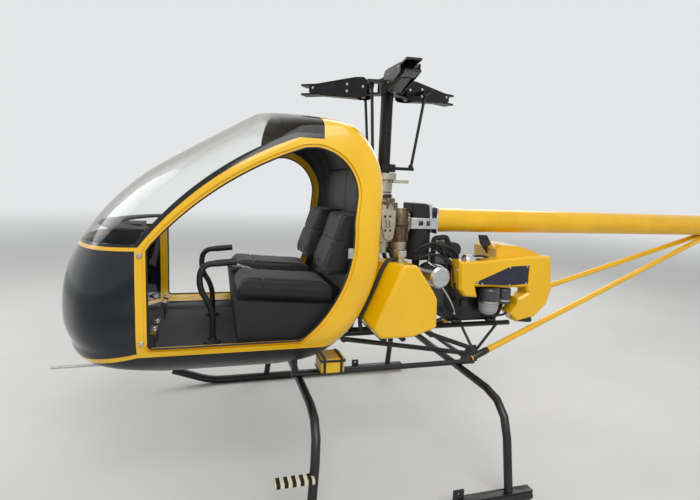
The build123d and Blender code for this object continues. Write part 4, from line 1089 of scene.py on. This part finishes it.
# Tail rotor: a turned hub cap, two blade cuffs and their bolts, and a pair of pitch links
tail_hub = sum(box_from_mast("tail_rotor")) / 2
hub_profile = [(0, -26), (30, -26), (36, -20), (38, 8), (34, 16), (22, 22), (18, 30), (0, 32)]
cuff_profile = [(0, 0), (24, 0), (26, 6), (24, 60), (20, 84), (14, 92), (0, 92)]
tail_shapes = [turned(hub_profile, tail_hub, (0, 1, 0), 40)]
link_shapes = []
for sign in (1, -1):
    tail_shapes.append(turned(cuff_profile, tail_hub + (0, 0, sign * 40), (0, 0, sign), 24))
    tail_shapes.append(bolt(tail_hub + (0, 22, sign * 96), (0, 1, 0), 13, 7))
    link_shapes.append(tube_along([tail_hub + (sign * 22, 30, sign * 20), tail_hub + (sign * 26, 18, sign * 70)],
                                  5, 12))
add_shapes("tail_hub", tail_shapes, machined_aluminium, "tail_rotor")
add_shapes("tail_links", link_shapes, black_anodised, "tail_rotor")

# Strut ends: a black tapered sleeve where each strut meets the lower frame
sleeve_profile = [(0, 8), (21, 8), (23, 14), (23, 118), (20.5, 140), (0, 140)]
sleeves = []
for side in (1, -1):
    foot = np.array([-560, side * 340, 597.0])
    sleeves.append(turned(sleeve_profile, foot, np.array([-2950, side * 30, 1406.0]) - foot, 24))
add_shapes("strut_sleeves", sleeves, black_powder_coat, "airframe")

# Battery box: two straps over it and a band round its top and its foot, black flat bar
(left_x, low_y, low_z), (right_x, high_y, high_z) = box_from_mast("battery_box")
straps = [box_shape((x, low_y - 3, low_z), (x + 16, high_y + 3, high_z + 3)) for x in (left_x + 14, right_x - 30)]
straps += [box_shape((left_x - 3, low_y - 3, band_low), (right_x + 3, high_y + 4, band_high))
           for band_low, band_high in ((high_z - 20, high_z - 6), (low_z, low_z + 10))]
soften(add_shapes("battery_straps", straps, black_powder_coat, "airframe"), 1)

# Sticks: a rubber foot, and one smooth bent bar that is thicker along its grip
boot_profile = [(0, 0), (46, 0), (48, 3), (48, 8), (40, 14), (26, 20), (22, 34), (0, 34)]
stick_corners = [(0, 0), (0, 195), (75, 325), (60, 450), (-60, 461), (-130, 467)]
stick_feet = []
stick_shapes = []
for y in (seat_middle_y, -seat_middle_y):
    stick_feet.append(turned(boot_profile, (1092, y, 785), segments=36))
    route = smooth_route([(1090 + x, y, 785 + z) for x, z in stick_corners], 75, 12)
    share = np.cumsum(np.r_[0, np.linalg.norm(np.diff(route, axis=0), axis=1)])
    share /= share[-1]
    stick_shapes.append(tube_along(route, np.where(share > 0.8, 19.5, 17.0), 20))
add_shapes("stick_feet", stick_feet, black_rubber, "airframe", 40)
smooth_sticks = add_shapes("stick_bars", stick_shapes, black_rubber, "airframe", 50)
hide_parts("control_sticks")

# Belt anchor: a bright tongue beside the left seat base
belt_shapes = [plate([(536, 905), (552, 900), (512, 832), (496, 838)], 527, 531)]
soften(add_shapes("belt_anchor", belt_shapes, machined_aluminium, "airframe"), 0.8)


# Stage: pale floor, pale surroundings, soft lamps and the camera

def looking_rays(tree):
    """One for a ray from the camera or one that gloss or clear glass sends on, and nought for the rest."""
    rays = add_node(tree, "ShaderNodeLightPath")
    seen = add_node(tree, "ShaderNodeMath", {"operation": "MAXIMUM"},
                    {0: rays.outputs["Is Camera Ray"], 1: rays.outputs["Is Transmission Ray"]})
    shown = add_node(tree, "ShaderNodeMath", {"operation": "MAXIMUM"},
                     {0: seen.outputs["Value"], 1: rays.outputs["Is Glossy Ray"]})
    return shown.outputs["Value"]


# Floor: matt pale paint, a little uneven, on which the shadow shows
floor_paint, tree, shader = new_material("floor_paint", {"Specular IOR Level": 0.3})
surface_noise(tree, shader, ("#CDCDCA", "#D2D2CF"), 900, 40, 0.2, (0.6, 0.75))

# Far from the object the floor runs into the backdrop, between two distances in metres
backdrop_colour = "#E4E6E7"
fade_start = 4.5
fade_end = 26.0
reach = add_node(tree, "ShaderNodeVectorMath", {"operation": "LENGTH"},
                 {0: add_node(tree, "ShaderNodeTexCoord").outputs["Object"]})
far = add_node(tree, "ShaderNodeMapRange",
               {"interpolation_type": "SMOOTHSTEP", "From Min": fade_start, "From Max": fade_end},
               {"Value": reach.outputs["Value"]})
far_shown = add_node(tree, "ShaderNodeMath", {"operation": "MULTIPLY"},
                     {0: far.outputs["Result"], 1: looking_rays(tree)})
far_glow = add_node(tree, "ShaderNodeEmission", {"Color": linear(backdrop_colour), "Strength": 1.0})
far_mix = add_node(tree, "ShaderNodeMixShader", {}, {
    0: far_shown.outputs["Value"], 1: shader.outputs["BSDF"], 2: far_glow.outputs["Emission"]})
tree.links.new(far_mix.outputs["Shader"], tree.nodes["Material Output"].inputs["Surface"])

floor_half = 60
floor_mesh = bpy.data.meshes.new("floor")
floor_mesh.from_pydata([(-floor_half, -floor_half, 0), (floor_half, -floor_half, 0),
                        (floor_half, floor_half, 0), (-floor_half, floor_half, 0)], [], [(0, 1, 2, 3)])
floor_mesh.materials.append(floor_paint)
floor = linked("floor", floor_mesh)

# World: even grey light on the object, paler where the camera, gloss and glass look straight at it
world = bpy.data.worlds.new("studio")
bpy.context.scene.world = world
world.use_nodes = True
tree = world.node_tree
background = tree.nodes["Background"]
background.inputs["Color"].default_value = linear("#DADCDD")
background.inputs["Strength"].default_value = 0.75
backdrop = add_node(tree, "ShaderNodeBackground", {"Color": linear(backdrop_colour), "Strength": 1.0})
mix = add_node(tree, "ShaderNodeMixShader", {}, {
    0: looking_rays(tree), 1: background.outputs["Background"], 2: backdrop.outputs["Background"]})
tree.links.new(mix.outputs["Shader"], tree.nodes["World Output"].inputs["Surface"])

lamp_target = (0.5, 0, 1.0)
# name, place in metres, width and power in watts
lamps = [
    ("lamp_over_left", (1.5, 4.5, 5.5), 5.0, 260),
    ("lamp_over_right", (-2.0, -4.5, 5.0), 5.0, 160),
    ("lamp_ahead", (7.0, -3.0, 4.5), 4.0, 130),
]
for name, spot, width, power in lamps:
    lamp = bpy.data.lights.new(name, "AREA")
    lamp.shape = "DISK"
    lamp.size = width
    lamp.energy = power
    lamp_object = linked(name, lamp)
    lamp_object.location = spot
    aim = np.array(lamp_target) - spot
    tilt = math.atan2(math.hypot(aim[0], aim[1]), -aim[2])
    lamp_object.rotation_euler = (tilt, 0, math.atan2(aim[0], -aim[1]) + math.pi)

camera_data = bpy.data.cameras.new("camera")
camera_data.lens = camera_lens_mm
camera_data.sensor_width = 36
camera_data.clip_start = 0.05
camera = linked("camera", camera_data)
camera.location = camera_eye
camera.rotation_euler = [math.radians(a) for a in camera_turn_deg]
bpy.context.scene.camera = camera
bpy.context.scene.view_settings.view_transform = "Standard"
